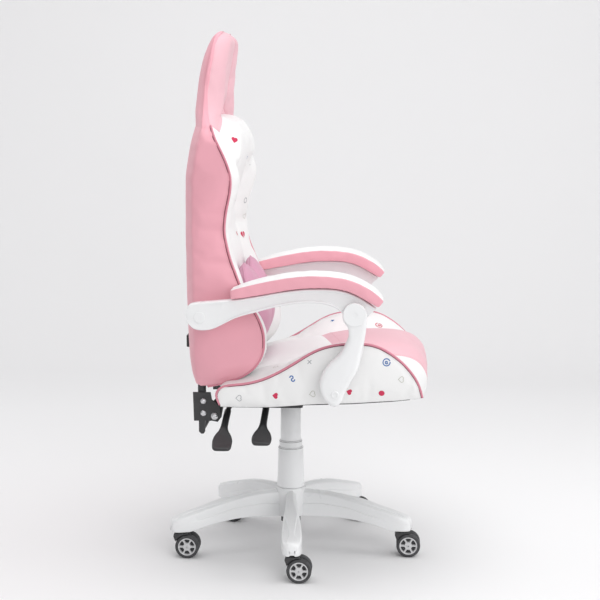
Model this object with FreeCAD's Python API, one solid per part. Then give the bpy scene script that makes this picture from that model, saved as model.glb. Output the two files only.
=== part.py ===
"""Racing-style gaming chair: star base on twin-wheel casters, telescopic column,
bucket seat, reclining bucket back with linked armrests.

Millimetres.  Origin on the floor under the swivel axis, +Z up, the sitter faces -Y,
so the sitter's right-hand side is -X.  Every node is one real piece, or one set of
identical pieces, written to its own STEP file.
"""
import FreeCAD
import Part
import math
import os

V = FreeCAD.Vector
X_AXIS = V(1, 0, 0)
Y_AXIS = V(0, 1, 0)
Z_AXIS = V(0, 0, 1)
RIGHT = -1
LEFT = 1
SIDES = {"right": RIGHT, "left": LEFT}

# ---------------------------------------------------------------- driving dimensions
# casters
WHEEL_RADIUS = 30.0
WHEEL_WIDTH = 17.0
WHEEL_INNER_FACE = 8.0
RIM_RADIUS = 21.5
TYRE_ROUND = 3.0
RIM_INSET = 0.5
DISH_DEPTH = 2.0
HUB_FACE_RADIUS = 9.0
SPOKE_COUNT = 6
WINDOW_DEPTH = 7.0
WINDOW_LINE = [(-3.2, 10.5), (3.2, 10.5), (5.6, 16.6), (-5.6, 16.6)]
HOOD_GAP = 2.0
WEB_RADIUS = 19.0
CASTER_TRAIL = 18.0
AXLE_RADIUS = 4.0
STEM_RADIUS = 5.5
STEM_BOTTOM = 40.0
STEM_TOP = 94.0
HOOD_TOP = 64.5
RUNNING_GAP = 0.05

# star base
ARM_COUNT = 5
FIRST_ARM_ANGLE = 184.2
STEM_CIRCLE = 292.6
BASE_BOTTOM = 66.0
HUB_RADIUS = 39.0
HUB_BOTTOM = 84.0
HUB_TOP = 158.0
BASE_WALL = 5.0
ARM_SLAB_HALF = 40.0
ARM_PLAN_HEIGHT = 200.0
RIDGE_INSET = 2.5
GROOVE_INSET = 8.0
GROOVE_WIDTH = 1.6
GROOVE_DEPTH = 1.2
STEM_BOSS_RADIUS = 12.0
RIB_THICKNESS = 4.0
RIB_SPACING = 42.0

# telescopic column
TUBE_RADIUS = 25.0
TUBE_BOTTOM = 66.0
TUBE_TOP = 285.0
CYLINDER_RADIUS = 14.0
CYLINDER_BOTTOM = 172.0
CYLINDER_TOP = 397.0
CYLINDER_BORE_TOP = 384.0
BUTTON_TOP = 405.0
GAS_ROD_RADIUS = 5.0
BUTTON_RADIUS = 3.0
GAS_ROD_BOTTOM = 60.0
GAS_ROD_LENGTH = 240.0
LOWER_COVER = (158.5, 262.0, 35.2, 30.3)
MIDDLE_COVER = (202.0, 279.0, 29.8, 26.9)
UPPER_COVER = (242.0, 374.0, 26.5, 25.4)
COVER_CAP = 3.0

# mechanism and seat
MECHANISM_BOTTOM = 375.0
MECHANISM_TOP = 414.0
MECHANISM_HALF_WIDTH = 100.0
SHELF_THICKNESS = 4.0
TRAY_HALF_WIDTH = 68.0
TRAY_WALL = 3.0
TRAY_REAR = 160.0
TRAY_FRONT = -34.0
SOCKET_RADIUS = 21.0
MECHANISM_BOLT_RADIUS = 4.0
MECHANISM_HEAD_RADIUS = 7.0
SEAT_HALF_WIDTH = 275.0
CENTRE_HALF_WIDTH = 165.0
FOAM_GAP = 0.4
RAIL_X = 190.0
RAIL_HALF = 12.0

# back and linkage; points are (y, z)
HINGE = (173.0, 380.0)
BEAM_REAR = (193.0, 640.0)
BEAM_FRONT = (-170.0, 651.0)
UPRIGHT_FOOT = (-125.0, 463.0)
STRUT_FRONT = (-60.0, 398.0)
STRUT_REAR = (203.0, 345.0)
STRUT_X = 125.0
STRUT_PIN_RADIUS = 5.0
BRACKET_X = 196.0
PLATE = 5.0
PIVOT_RADIUS = 8.0
FRONT_PIN_RADIUS = 6.0
OPEN_PIVOT_GAP = 5.2
STRUT_PIVOT_GAP = 2.6
STRUT_TUBE_RADIUS = 11.0
BOLT_RADIUS = 4.5
BOLT_HEAD_RADIUS = 8.0
HINGE_HEAD_RADIUS = 10.0
BEAM_ROUND = 3.0
UPRIGHT_ROUND = 3.5
PAD_ROUND = 6.0
REAR_CAP_RADIUS = 13.0
REAR_CAP_SEAT = 2.0
FRONT_CAP_RADIUS = 27.0
FOOT_CAP_RADIUS = 9.0
CAP_THICKNESS = 2.6
SPACER_RADIUS = 15.0
FRAME_TUBE_RADIUS = 10.0
BEAM_INNER = 290.0
BEAM_OUTER = 320.0
UPRIGHT_INNER = 303.0
UPRIGHT_OUTER = 335.0
PAD_INNER = 254.0
PAD_OUTER = 334.0

# control levers
LEVER_ROD_RADIUS = 6.0
LEVER_PIN_RADIUS = 4.0
LEVER_PIVOT = (-62.0, 392.0)
HEIGHT_LEVER_Y = 50.0
RECLINE_LEVER_Y = 143.0
PADDLE_THICKNESS = 9.0
PADDLE_COLLAR_RADIUS = 8.2
LEVER_BEND = (-168.0, 389.0)
TONGUE_RADIUS = 2.0


# ---------------------------------------------------------------- shape helpers
def block(x0, x1, y0, y1, z0, z1):
    return Part.makeBox(x1 - x0, y1 - y0, z1 - z0, V(x0, y0, z0))


def rod(start, end, radius):
    span = end - start
    return Part.makeCylinder(radius, span.Length, start, span)


def cross_pin(yz, x0, x1, radius):
    """Round bar along X through the point (y, z)."""
    low, high = sorted((x0, x1))
    return Part.makeCylinder(radius, high - low, V(low, yz[0], yz[1]), X_AXIS)


def ring(z0, z1, outer, inner):
    tube = Part.makeCylinder(outer, z1 - z0, V(0, 0, z0))
    return tube.cut(Part.makeCylinder(inner, z1 - z0, V(0, 0, z0)))


def closed_wire(stretches, place):
    """Joins stretches of points: two points make a line, more make a smooth curve."""
    edges = []
    for stretch in stretches:
        points = [place(point) for point in stretch]
        if len(points) == 2:
            edges.append(Part.makeLine(points[0], points[1]))
        else:
            curve = Part.BSplineCurve()
            curve.interpolate(points)
            edges.append(curve.toShape())
    return Part.Wire(edges)


def side_slab(stretches, x0, x1):
    """Slab between two X planes whose side view is the given outline."""
    low, high = sorted((x0, x1))
    wire = closed_wire(stretches, lambda p: V(low, p[0], p[1]))
    return Part.Face(wire).extrude(V(high - low, 0, 0))


def polygon(points, place):
    return Part.makePolygon([place(point) for point in points + points[:1]])


def side_polygon_slab(points, x0, x1):
    low, high = sorted((x0, x1))
    wire = polygon(points, lambda p: V(low, p[0], p[1]))
    return Part.Face(wire).extrude(V(high - low, 0, 0))


def skin_through(sections):
    return Part.makeLoft([polygon(points, lambda p: V(*p)) for points in sections], True, True)


def round_side_edges(shape, radius, faces_x):
    """Rounds the edges that lie in the given X planes."""
    edges = []
    for edge in shape.Edges:
        box = edge.BoundBox
        if any(abs(box.XMin - x) < 0.01 and abs(box.XMax - x) < 0.01 for x in faces_x):
            edges.append(edge)
    return shape.makeFillet(radius, edges)


def mirrored(shape):
    return shape.mirror(V(0, 0, 0), X_AXIS)


def for_side(shape_on_left, side):
    return shape_on_left if side == LEFT else mirrored(shape_on_left)


def both_sides(shape_on_left):
    return Part.makeCompound([shape_on_left, mirrored(shape_on_left)])


def write(name, shape):
    shape.exportStep(os.path.join("parts", name + ".step"))


# ---------------------------------------------------------------- star base
def arm_body():
    """One arm along +X before it is turned into place."""
    crest = [(30, 152), (83, 151), (159, 141), (206, 131), (263, 116), (309, 101), (318, 88)]
    tip = [(318, 88), (320, BASE_BOTTOM)]
    sole = [(320, BASE_BOTTOM), (268, BASE_BOTTOM)]
    belly = [(268, BASE_BOTTOM), (226, 79), (174, 86), (112, 88), (30, HUB_BOTTOM)]
    step = [(30, 114), (83, 121), (159, 115), (216, 101), (290, 88), (320, 84)]
    place = lambda p: V(p[0], 0, p[1])
    full = closed_wire([crest, tip, sole, belly, [belly[-1], crest[0]]], place)
    low = closed_wire([step, [step[-1], sole[0]], sole, belly, [belly[-1], step[0]]], place)
    ridge = slab_across(full).common(arm_plan(RIDGE_INSET))
    flange = slab_across(low).common(arm_plan(0))
    arm = ridge.fuse(flange).removeSplitter()
    return arm.cut(top_groove(full))


def slab_across(wire):
    slab = Part.Face(wire).extrude(V(0, 2 * ARM_SLAB_HALF, 0))
    slab.translate(V(0, -ARM_SLAB_HALF, 0))
    return slab


def arm_plan(inset):
    """Plan view of an arm, rounded at the tip, drawn in by the inset."""
    widths = [(28, 15.5), (90, 15.5), (190, 18.5), (255, 22.5), (STEM_CIRCLE, 24.0)]
    left = [(x, w - inset) for x, w in widths]
    right = [(x, -w) for x, w in reversed(left)]
    tip_radius = left[-1][1]
    place = lambda p: V(p[0], p[1], 0)
    side_a = Part.BSplineCurve()
    side_a.interpolate([place(p) for p in left])
    side_b = Part.BSplineCurve()
    side_b.interpolate([place(p) for p in right])
    end_point = V(STEM_CIRCLE + tip_radius, 0, 0)
    tip = Part.Arc(place(left[-1]), end_point, place(right[0])).toShape()
    closing = Part.makeLine(place(right[-1]), place(left[0]))
    wire = Part.Wire([side_a.toShape(), tip, side_b.toShape(), closing])
    return Part.Face(wire).extrude(V(0, 0, ARM_PLAN_HEIGHT))


def top_groove(full_wire):
    """Shallow decorative line that follows the arm's outline on its crest."""
    start, end = 95.0, 305.0
    line = arm_plan(GROOVE_INSET).cut(arm_plan(GROOVE_INSET + GROOVE_WIDTH))
    line = line.common(block(start, end, -ARM_SLAB_HALF, ARM_SLAB_HALF, 0, ARM_PLAN_HEIGHT))
    lowered = slab_across(full_wire)
    lowered.translate(V(0, 0, -GROOVE_DEPTH))
    return line.cut(lowered)


def star_base():
    socket = Part.makeCylinder(STEM_RADIUS + RUNNING_GAP, STEM_TOP + 1 - BASE_BOTTOM,
                               V(STEM_CIRCLE, 0, BASE_BOTTOM))
    boss = Part.makeCylinder(STEM_BOSS_RADIUS, STEM_TOP, V(STEM_CIRCLE, 0, BASE_BOTTOM))
    arm = arm_body().cut(underside_channel()).fuse(boss.common(arm_body())).cut(socket)
    base = Part.makeCylinder(HUB_RADIUS, HUB_TOP - HUB_BOTTOM, V(0, 0, HUB_BOTTOM))
    base = base.makeFillet(5, [e for e in base.Edges if abs(e.BoundBox.ZMin - HUB_TOP) < 0.01
                               and abs(e.BoundBox.ZMax - HUB_TOP) < 0.01])
    for index in range(ARM_COUNT):
        turned = arm.copy()
        turned.rotate(V(0, 0, 0), Z_AXIS, FIRST_ARM_ANGLE + index * 360.0 / ARM_COUNT)
        base = base.fuse(turned)
    bore = Part.makeCylinder(TUBE_RADIUS, HUB_TOP, V(0, 0, HUB_BOTTOM - 10))
    return base.cut(bore).removeSplitter()


def underside_channel():
    """Open channel under an arm, divided by one long rib and a row of cross ribs."""
    start, end = 44.0, 272.0
    ceiling = [(start, 138), (159, 126), (206, 116), (end, 99)]
    place = lambda p: V(p[0], 0, p[1])
    low = BASE_BOTTOM - 6
    wire = closed_wire([ceiling, [ceiling[-1], (end, low)], [(end, low), (start, low)],
                        [(start, low), ceiling[0]]], place)
    channel = slab_across(wire).common(arm_plan(BASE_WALL + RIDGE_INSET))
    half = RIB_THICKNESS / 2
    channel = channel.cut(block(start, end, -half, half, low, HUB_TOP))
    x = start + RIB_SPACING
    while x < end:
        channel = channel.cut(block(x - half, x + half, -ARM_SLAB_HALF, ARM_SLAB_HALF, low, HUB_TOP))
        x += RIB_SPACING
    return channel


# ---------------------------------------------------------------- casters
def caster_spots():
    for index in range(ARM_COUNT):
        angle = math.radians(FIRST_ARM_ANGLE + index * 360.0 / ARM_COUNT)
        yield index + 1, V(STEM_CIRCLE * math.cos(angle), STEM_CIRCLE * math.sin(angle), 0)


def caster_hood():
    """Fender over both wheels with the web between them; the stem is at x = y = 0."""
    half = WHEEL_INNER_FACE + WHEEL_WIDTH
    wheel = (-CASTER_TRAIL, WHEEL_RADIUS)
    side = [(-21, HOOD_TOP), (14, HOOD_TOP), (16, 58), (11, 43), (-21, 43)]
    fender = side_polygon_slab(side, -half, half)
    fender = fender.cut(cross_pin(wheel, -half - 1, half + 1, WHEEL_RADIUS + HOOD_GAP))
    web_half = WHEEL_INNER_FACE - 1.0
    web = cross_pin(wheel, -web_half, web_half, WEB_RADIUS)
    neck = side_polygon_slab([(-21, HOOD_TOP), (14, HOOD_TOP), (16, 58), (9, 34), (-30, 24)],
                             -web_half, web_half)
    boss = Part.makeCylinder(10, 30, V(0, 0, HOOD_TOP - 30))
    boss = boss.common(block(-web_half, web_half, -12, 12, 0, HOOD_TOP))
    hood = fender.fuse(web).fuse(neck).fuse(boss)
    hood = hood.cut(Part.makeCylinder(STEM_RADIUS, 60, V(0, 0, STEM_BOTTOM)))
    return hood.cut(cross_pin(wheel, -half, half, AXLE_RADIUS)).removeSplitter()


def caster_pins():
    """Steel stem with its collar, and the axle."""
    reach = WHEEL_INNER_FACE + WHEEL_WIDTH - 3
    stem = Part.makeCylinder(STEM_RADIUS, STEM_TOP - STEM_BOTTOM, V(0, 0, STEM_BOTTOM))
    axle = cross_pin((-CASTER_TRAIL, WHEEL_RADIUS), -reach, reach, AXLE_RADIUS)
    return Part.makeCompound([stem, axle])


def caster_wheel(side):
    """Tyre and six-spoke rim; the hub face looks outwards."""
    wheel = (-CASTER_TRAIL, WHEEL_RADIUS)
    inner = WHEEL_INNER_FACE
    outer = WHEEL_INNER_FACE + WHEEL_WIDTH
    tyre = cross_pin(wheel, inner, outer, WHEEL_RADIUS)
    tyre = round_side_edges(tyre, TYRE_ROUND, (inner, outer))
    tyre = tyre.cut(cross_pin(wheel, inner, outer, RIM_RADIUS))
    rim = cross_pin(wheel, inner + RIM_INSET, outer - RIM_INSET, RIM_RADIUS)
    dish = cross_pin(wheel, outer - DISH_DEPTH, outer + 1, RIM_RADIUS - 3.5)
    dish = dish.cut(cross_pin(wheel, outer - DISH_DEPTH, outer + 1, HUB_FACE_RADIUS))
    rim = rim.cut(dish)
    step = 360.0 / SPOKE_COUNT
    for index in range(SPOKE_COUNT):
        window = side_polygon_slab(WINDOW_LINE, outer - WINDOW_DEPTH, outer + 1)
        window.translate(V(0, wheel[0], wheel[1]))
        window.rotate(V(0, wheel[0], wheel[1]), X_AXIS, step * (index + 0.5))
        rim = rim.cut(window)
    bore = cross_pin(wheel, inner - 1, outer - 2.5, AXLE_RADIUS + RUNNING_GAP)
    return for_side(Part.makeCompound([tyre, rim.cut(bore)]), side)


def write_casters():
    hood = caster_hood()
    pins = caster_pins()
    wheels = {"outer": caster_wheel(RIGHT), "inner": caster_wheel(LEFT)}
    for number, spot in caster_spots():
        for name, shape in (("hood", hood), ("pins", pins)):
            write("caster_%d_%s" % (number, name), shape.translated(spot))
        for name, shape in wheels.items():
            write("caster_%d_wheel_%s" % (number, name), shape.translated(spot))


# ---------------------------------------------------------------- column
def gas_outer_tube():
    tube = Part.makeCylinder(TUBE_RADIUS, TUBE_TOP - TUBE_BOTTOM, V(0, 0, TUBE_BOTTOM))
    bore = Part.makeCylinder(CYLINDER_RADIUS + RUNNING_GAP, TUBE_TOP, V(0, 0, TUBE_BOTTOM + 8))
    foot = Part.makeCylinder(GAS_ROD_RADIUS, TUBE_TOP, V(0, 0, GAS_ROD_BOTTOM))
    return tube.cut(bore).cut(foot)


def gas_rod():
    return Part.makeCylinder(GAS_ROD_RADIUS, GAS_ROD_LENGTH, V(0, 0, GAS_ROD_BOTTOM))


def gas_cylinder():
    body = Part.makeCylinder(CYLINDER_RADIUS, CYLINDER_TOP - CYLINDER_BOTTOM,
                             V(0, 0, CYLINDER_BOTTOM))
    bore = Part.makeCylinder(GAS_ROD_RADIUS + RUNNING_GAP, CYLINDER_BORE_TOP - CYLINDER_BOTTOM,
                             V(0, 0, CYLINDER_BOTTOM))
    button_hole = Part.makeCylinder(BUTTON_RADIUS + RUNNING_GAP, 20, V(0, 0, CYLINDER_BORE_TOP))
    return body.cut(bore).cut(button_hole)


def release_button():
    bottom = CYLINDER_BORE_TOP + 4.5
    stalk = Part.makeCylinder(BUTTON_RADIUS, BUTTON_TOP - bottom, V(0, 0, bottom))
    return stalk.makeFillet(0.8, [stalk.Edges[0]])


def column_cover(sizes, capped):
    bottom, top, outer, inner = sizes
    cover = ring(bottom, top, outer, inner)
    rim = [e for e in cover.Edges if abs(e.BoundBox.ZMin - top) < 0.01
           and abs(e.BoundBox.ZMax - top) < 0.01 and e.BoundBox.XLength > 2 * outer - 0.1]
    cover = cover.makeFillet(0.8, rim)
    if capped:
        cover = cover.fuse(ring(top - COVER_CAP, top, outer - 0.5, CYLINDER_RADIUS))
    return cover


# ---------------------------------------------------------------- mechanism and levers
def mechanism_plate():
    """Pressed steel swivel plate: a flat box on four ears, with the cylinder's socket."""
    ceiling = MECHANISM_TOP - SHELF_THICKNESS
    shelf = block(-MECHANISM_HALF_WIDTH, MECHANISM_HALF_WIDTH, TRAY_FRONT - 4, TRAY_REAR + 8,
                  ceiling, MECHANISM_TOP)
    tray = block(-TRAY_HALF_WIDTH, TRAY_HALF_WIDTH, TRAY_FRONT, TRAY_REAR,
                 MECHANISM_BOTTOM, ceiling)
    tray = tray.makeFillet(8, [e for e in tray.Edges if e.BoundBox.ZLength > 30])
    inner_half = TRAY_HALF_WIDTH - TRAY_WALL
    hollow = block(-inner_half, inner_half, TRAY_FRONT + TRAY_WALL, TRAY_REAR - TRAY_WALL,
                   MECHANISM_BOTTOM + TRAY_WALL, ceiling)
    socket = Part.makeCylinder(SOCKET_RADIUS, ceiling - MECHANISM_BOTTOM,
                               V(0, 0, MECHANISM_BOTTOM))
    body = shelf.fuse(tray.cut(hollow)).fuse(socket)
    bore = Part.makeCylinder(CYLINDER_RADIUS, CYLINDER_TOP - MECHANISM_BOTTOM + 5,
                             V(0, 0, MECHANISM_BOTTOM - 5))
    button_room = Part.makeCylinder(9, 20, V(0, 0, CYLINDER_TOP - 1))
    body = body.cut(bore).cut(button_room)
    for y in (HEIGHT_LEVER_Y, RECLINE_LEVER_Y):
        body = body.cut(block(-72, -61, y - 9, y + 9, 380, 407))
    body = body.cut(block(-4, 4, 0, 26, CYLINDER_TOP - 1, ceiling))
    for x, y in mechanism_bolt_spots():
        body = body.cut(Part.makeCylinder(MECHANISM_BOLT_RADIUS + 0.2, 10,
                                          V(x, y, MECHANISM_TOP - 7)))
    return body.removeSplitter()


def mechanism_bolt_spots():
    return [(x, y) for x in (-85, 85) for y in (-20, 150)]


def mechanism_bolts():
    bolts = []
    for x, y in mechanism_bolt_spots():
        head = Part.makeCylinder(MECHANISM_HEAD_RADIUS, 5, V(x, y, MECHANISM_TOP - 9))
        shank = Part.makeCylinder(MECHANISM_BOLT_RADIUS, 22, V(x, y, MECHANISM_TOP - 5))
        bolts.append(head.fuse(shank))
    return Part.makeCompound(bolts)


def lever_rod(y, inner_x, reach, drop):
    """Bent bar from inside the mechanism, out sideways and down to its paddle."""
    inner = V(inner_x, y, LEVER_PIVOT[1])
    bend = V(LEVER_BEND[0], y, LEVER_BEND[1])
    end = V(-reach, y, drop)
    bar = rod(inner, bend, LEVER_ROD_RADIUS).fuse(rod(bend, end, LEVER_ROD_RADIUS))
    reach_y = LEVER_ROD_RADIUS + 2.0
    trunnion = rod(V(LEVER_PIVOT[0], y - reach_y, LEVER_PIVOT[1]),
                   V(LEVER_PIVOT[0], y + reach_y, LEVER_PIVOT[1]), LEVER_PIN_RADIUS)
    return bar.fuse(Part.makeSphere(LEVER_ROD_RADIUS, bend)).fuse(trunnion)


def height_lever_rod():
    """The height lever's bar also carries a thin tongue that reaches over the button."""
    bar = lever_rod(HEIGHT_LEVER_Y, 0, 262, 366)
    radius = TONGUE_RADIUS
    height = BUTTON_TOP + 0.3 + radius
    root = V(0, HEIGHT_LEVER_Y, LEVER_PIVOT[1])
    knee = V(0, 27, height)
    tip = V(0, -3, height)
    tongue = rod(root, knee, radius).fuse(rod(knee, tip, radius))
    return bar.fuse(tongue.fuse(Part.makeSphere(radius, knee)))


def paddle(y, start, end):
    """Flat hand grip that widens from the bar; start and end are (x, z)."""
    along = V(end[0] - start[0], 0, end[1] - start[1])
    length = along.Length
    half = [(0, 10.0), (14, 14.0), (34, 23.0), (50, 24.0), (length - 5, 19.0), (length, 13.0)]
    right = [(d, -w) for d, w in reversed(half)]
    place = lambda p: V(p[0], p[1], -PADDLE_THICKNESS / 2)
    wire = closed_wire([half, [half[-1], right[0]], right, [right[-1], half[0]]], place)
    grip = Part.Face(wire).extrude(V(0, 0, PADDLE_THICKNESS))
    grip = grip.makeFillet(2.5, [e for e in grip.Edges if e.BoundBox.ZLength < 0.01])
    collar = Part.makeCylinder(PADDLE_COLLAR_RADIUS, 20, V(-7, 0, 0), X_AXIS)
    grip = grip.fuse(collar).removeSplitter()
    tilt = math.degrees(math.atan2(along.z, -along.x))
    grip.rotate(V(0, 0, 0), Z_AXIS, 180)
    grip.rotate(V(0, 0, 0), Y_AXIS, tilt)
    grip.translate(V(start[0], y, start[1]))
    return grip


# ---------------------------------------------------------------- seat
def seat_frame():
    """Welded tube frame with cross bars, arm sockets and the strut's front lugs."""
    rail_line = [(148, 420), (148, 436), (30, 436), (-250, 452), (-250, 436), (30, 420)]
    rail = side_polygon_slab(rail_line, RAIL_X - RAIL_HALF, RAIL_X + RAIL_HALF)
    frame = rail.fuse(mirrored(rail))
    reach = RAIL_X - RAIL_HALF
    for y, z in ((-238, 444), (-60, 432), (-20, 430), (150, 428), (60, 428)):
        frame = frame.fuse(block(-reach, reach, y - 10, y + 10, z - 7, z + 7))
    socket = cross_pin(UPRIGHT_FOOT, RAIL_X, SEAT_HALF_WIDTH - 2, 13)
    post = block(RAIL_X - 4, RAIL_X + 6, -137, -113, 440, 463)
    bore = cross_pin(UPRIGHT_FOOT, RAIL_X + 20, SEAT_HALF_WIDTH, PIVOT_RADIUS)
    frame = frame.fuse(both_sides(socket.fuse(post).cut(bore)))
    for x in (STRUT_X - 22, STRUT_X + 16):
        lug = side_polygon_slab([(-72, 426), (-48, 426), (-50, 392), (-60, 388), (-70, 392)],
                                x, x + 6)
        frame = frame.fuse(lug)
    frame = frame.fuse(cross_pin(STRUT_FRONT, STRUT_X - 24, STRUT_X + 24, STRUT_PIN_RADIUS))
    return frame.removeSplitter()


def seat_hinge_brackets():
    """Steel side plates that carry the recline hinge behind the seat."""
    line = [(100, 431), (163, 431), (186, 405), (190, 381), (182, 367), (166, 364),
            (157, 376), (152, 404), (100, 418)]
    plate = side_polygon_slab(line, BRACKET_X - 2 * PLATE - 0.4, BRACKET_X - PLATE - 0.4)
    plate = plate.cut(cross_pin(HINGE, 150, 230, PIVOT_RADIUS + RUNNING_GAP))
    return both_sides(plate)


def seat_dust_cover():
    line = [(146, 414.2), (146, 415.6), (33, 415.6), (-52, 422.6), (-161, 426.6), (-257, 433.6),
            (-300, 438.4), (-300, 437.0), (-257, 432.2), (-161, 425.2), (-52, 421.2), (33, 414.2)]
    sheet = side_polygon_slab(line, -255, 255)
    for x, y in mechanism_bolt_spots():
        sheet = sheet.cut(Part.makeCylinder(4.5, 20, V(x, y, 405)))
    for x in (STRUT_X - 22, STRUT_X + 16):
        sheet = sheet.cut(block(x - 1, x + 7, -75, -45, 405, 430))
    slot = block(BRACKET_X - 12, BRACKET_X - 4, 98, 150, 405, 430)
    return sheet.cut(slot).cut(mirrored(slot))


SEAT_UNDERSIDE = [(-331, 442), (-257, 435), (-161, 428), (-52, 424), (33, 417), (146, 417)]


def seat_cushion():
    top = [(146, 442), (140, 470), (118, 488), (77, 503), (40, 510), (-15, 520), (-80, 534),
           (-140, 545), (-206, 550), (-288, 549), (-316, 538), (-337, 512), (-347, 480),
           (-343, 456)]
    half = CENTRE_HALF_WIDTH - FOAM_GAP / 2
    return side_polygon_slab(SEAT_UNDERSIDE + top, -half, half)


def seat_bolster():
    """Left bolster: high outer edge at mid length, running down to front and rear."""
    outer_top = [(154, 436), (160, 458), (139, 469), (96, 473), (54, 483), (11, 503), (-31, 528),
                 (-73, 554), (-112, 568), (-170, 573), (-223, 568), (-281, 530), (-312, 492),
                 (-328, 450)]
    inner_top = [(146, 442), (140, 458), (118, 471), (77, 489), (40, 502), (-15, 512), (-80, 526),
                 (-112, 532), (-170, 537), (-223, 540), (-288, 538), (-322, 515), (-340, 480),
                 (-335, 452)]
    inner = [(CENTRE_HALF_WIDTH + FOAM_GAP / 2, y, z) for y, z in SEAT_UNDERSIDE + inner_top]
    outer = [(SEAT_HALF_WIDTH, y, z) for y, z in SEAT_UNDERSIDE + outer_top]
    return skin_through([inner, outer])


# ---------------------------------------------------------------- back
# z, half width, piping y, wing front y, centre front y, rear side y, rear centre y
BACK_SECTIONS = [
    (459, 222, 186, 184, 186, 220, 226),
    (482, 238, 110, 107, 165, 224, 236),
    (510, 246, 69, 65, 154, 226, 243),
    (560, 250, 47, 43, 144, 229, 247),
    (620, 250, 56, 52, 139, 231, 250),
    (700, 248, 102, 97, 133, 233, 253),
    (765, 241, 127, 121, 130, 234, 255),
    (835, 238, 141, 132, 148, 235, 256),
    (900, 244, 133, 121, 148, 234, 255),
    (960, 254, 124, 107, 131, 232, 253),
    (1010, 261, 138, 114, 117, 224, 245),
    (1050, 255, 158, 131, 114, 216, 236),
    (1085, 228, 173, 150, 130, 209, 229),
    (1115, 184, 183, 155, 158, 206, 227),
    (1160, 160, 188, 153, 164, 205, 227),
    (1215, 157, 180, 147, 160, 202, 221),
    (1255, 150, 174, 141, 152, 196, 212),
    (1282, 136, 172, 139, 142, 187, 201),
    (1300, 112, 167, 151, 150, 179, 188),
    (1308, 84, 164, 160, 160, 171, 176),
]


def back_section(row):
    z, half, piping, wing, centre, rear_side, rear = row
    right = [(0.0, centre), (0.46, centre), (0.68, (centre + wing) / 2), (0.80, wing),
             (0.93, (wing + piping) / 2 - 2), (1.0, piping + 1), (0.995, (piping + rear_side) / 2),
             (0.95, rear_side - 5), (0.80, rear_side + 2), (0.45, (rear_side + 3 * rear) / 4),
             (0.0, rear)]
    points = [(half * share, y, z) for share, y in right]
    points += [(-half * share, y, z) for share, y in reversed(right[1:-1])]
    return points


def back_cushion():
    return skin_through([back_section(row) for row in BACK_SECTIONS])


def back_frame():
    """Welded tube loop inside the foam, with cross bars and two lower legs."""
    radius = FRAME_TUBE_RADIUS
    path = [V(190, 204, 374), V(190, 204, 470), V(200, 200, 620), V(190, 202, 830),
            V(205, 190, 1000), V(120, 190, 1100), V(105, 180, 1230)]
    frame = Part.makeSphere(radius, path[-1])
    for start, end in zip(path, path[1:]):
        frame = frame.fuse(rod(start, end, radius))
        frame = frame.fuse(Part.makeSphere(radius, end))
    frame = frame.fuse(mirrored(frame))
    for knot in (path[1], path[3], path[4], path[6]):
        frame = frame.fuse(rod(V(-knot.x, knot.y, knot.z), knot, radius * 0.8))
    ear = cross_pin(BEAM_REAR, 200, 246, 14)
    frame = frame.fuse(ear).fuse(mirrored(ear))
    frame = frame.cut(cross_pin(BEAM_REAR, 215, 250, PIVOT_RADIUS))
    frame = frame.cut(cross_pin(BEAM_REAR, -250, -215, PIVOT_RADIUS))
    for spot in BACK_BOLTS:
        frame = frame.cut(cross_pin(spot, 175, 205, BOLT_RADIUS))
        frame = frame.cut(cross_pin(spot, -205, -175, BOLT_RADIUS))
    flat = block(BRACKET_X, 215, 180, 230, 360, 445)
    return frame.cut(flat).cut(mirrored(flat))


BACK_BOLTS = [(200, 417), (200, 387)]


def back_hinge_plates():
    """Dark steel plates that turn with the back, joined by the strut's cross bar."""
    line = [(225, 439), (182, 439), (179, 421), (159, 404), (159, 379), (167, 371), (182, 368.5),
            (223, 368.5)]
    plate = side_polygon_slab(line, BRACKET_X, BRACKET_X + PLATE)
    lever = side_polygon_slab([(196, 370), (211, 370), (211, 342), (205, 336), (199, 337),
                               (196, 342)], BRACKET_X, BRACKET_X + PLATE)
    plate = plate.fuse(lever)
    plate = plate.cut(cross_pin(HINGE, 150, 230, PIVOT_RADIUS))
    for spot in BACK_BOLTS:
        plate = plate.cut(cross_pin(spot, 150, 230, BOLT_RADIUS))
    bar = cross_pin(STRUT_REAR, -BRACKET_X, BRACKET_X, STRUT_PIN_RADIUS)
    return plate.fuse(mirrored(plate)).fuse(bar)


def domed_bolt(spot, shank_radius, head_radius, x_head, x_end):
    """Button-head bolt along X with its head at the outside."""
    dome = Part.makeSphere(head_radius * 1.1, V(x_head - head_radius * 0.62, spot[0], spot[1]))
    dome = dome.common(cross_pin(spot, x_head, x_head + 6, head_radius))
    socket = cross_pin(spot, x_head + 2.2, x_head + 8, head_radius * 0.42)
    return dome.fuse(cross_pin(spot, x_end, x_head, shank_radius)).cut(socket)


def back_bolts():
    face = BRACKET_X + PLATE
    bolts = [domed_bolt(spot, BOLT_RADIUS, BOLT_HEAD_RADIUS, face, face - 26)
             for spot in BACK_BOLTS]
    bolts.append(domed_bolt(HINGE, PIVOT_RADIUS, HINGE_HEAD_RADIUS, face, face - 14))
    return both_sides(Part.makeCompound(bolts))


def arm_pivot_bolts():
    """Shoulder bolts that carry the beams, with their spacer collars."""
    shank = cross_pin(BEAM_REAR, 222, 317, PIVOT_RADIUS)
    spacer = cross_pin(BEAM_REAR, 246, BEAM_INNER - 0.4, SPACER_RADIUS)
    return both_sides(shank.fuse(spacer))


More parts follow.
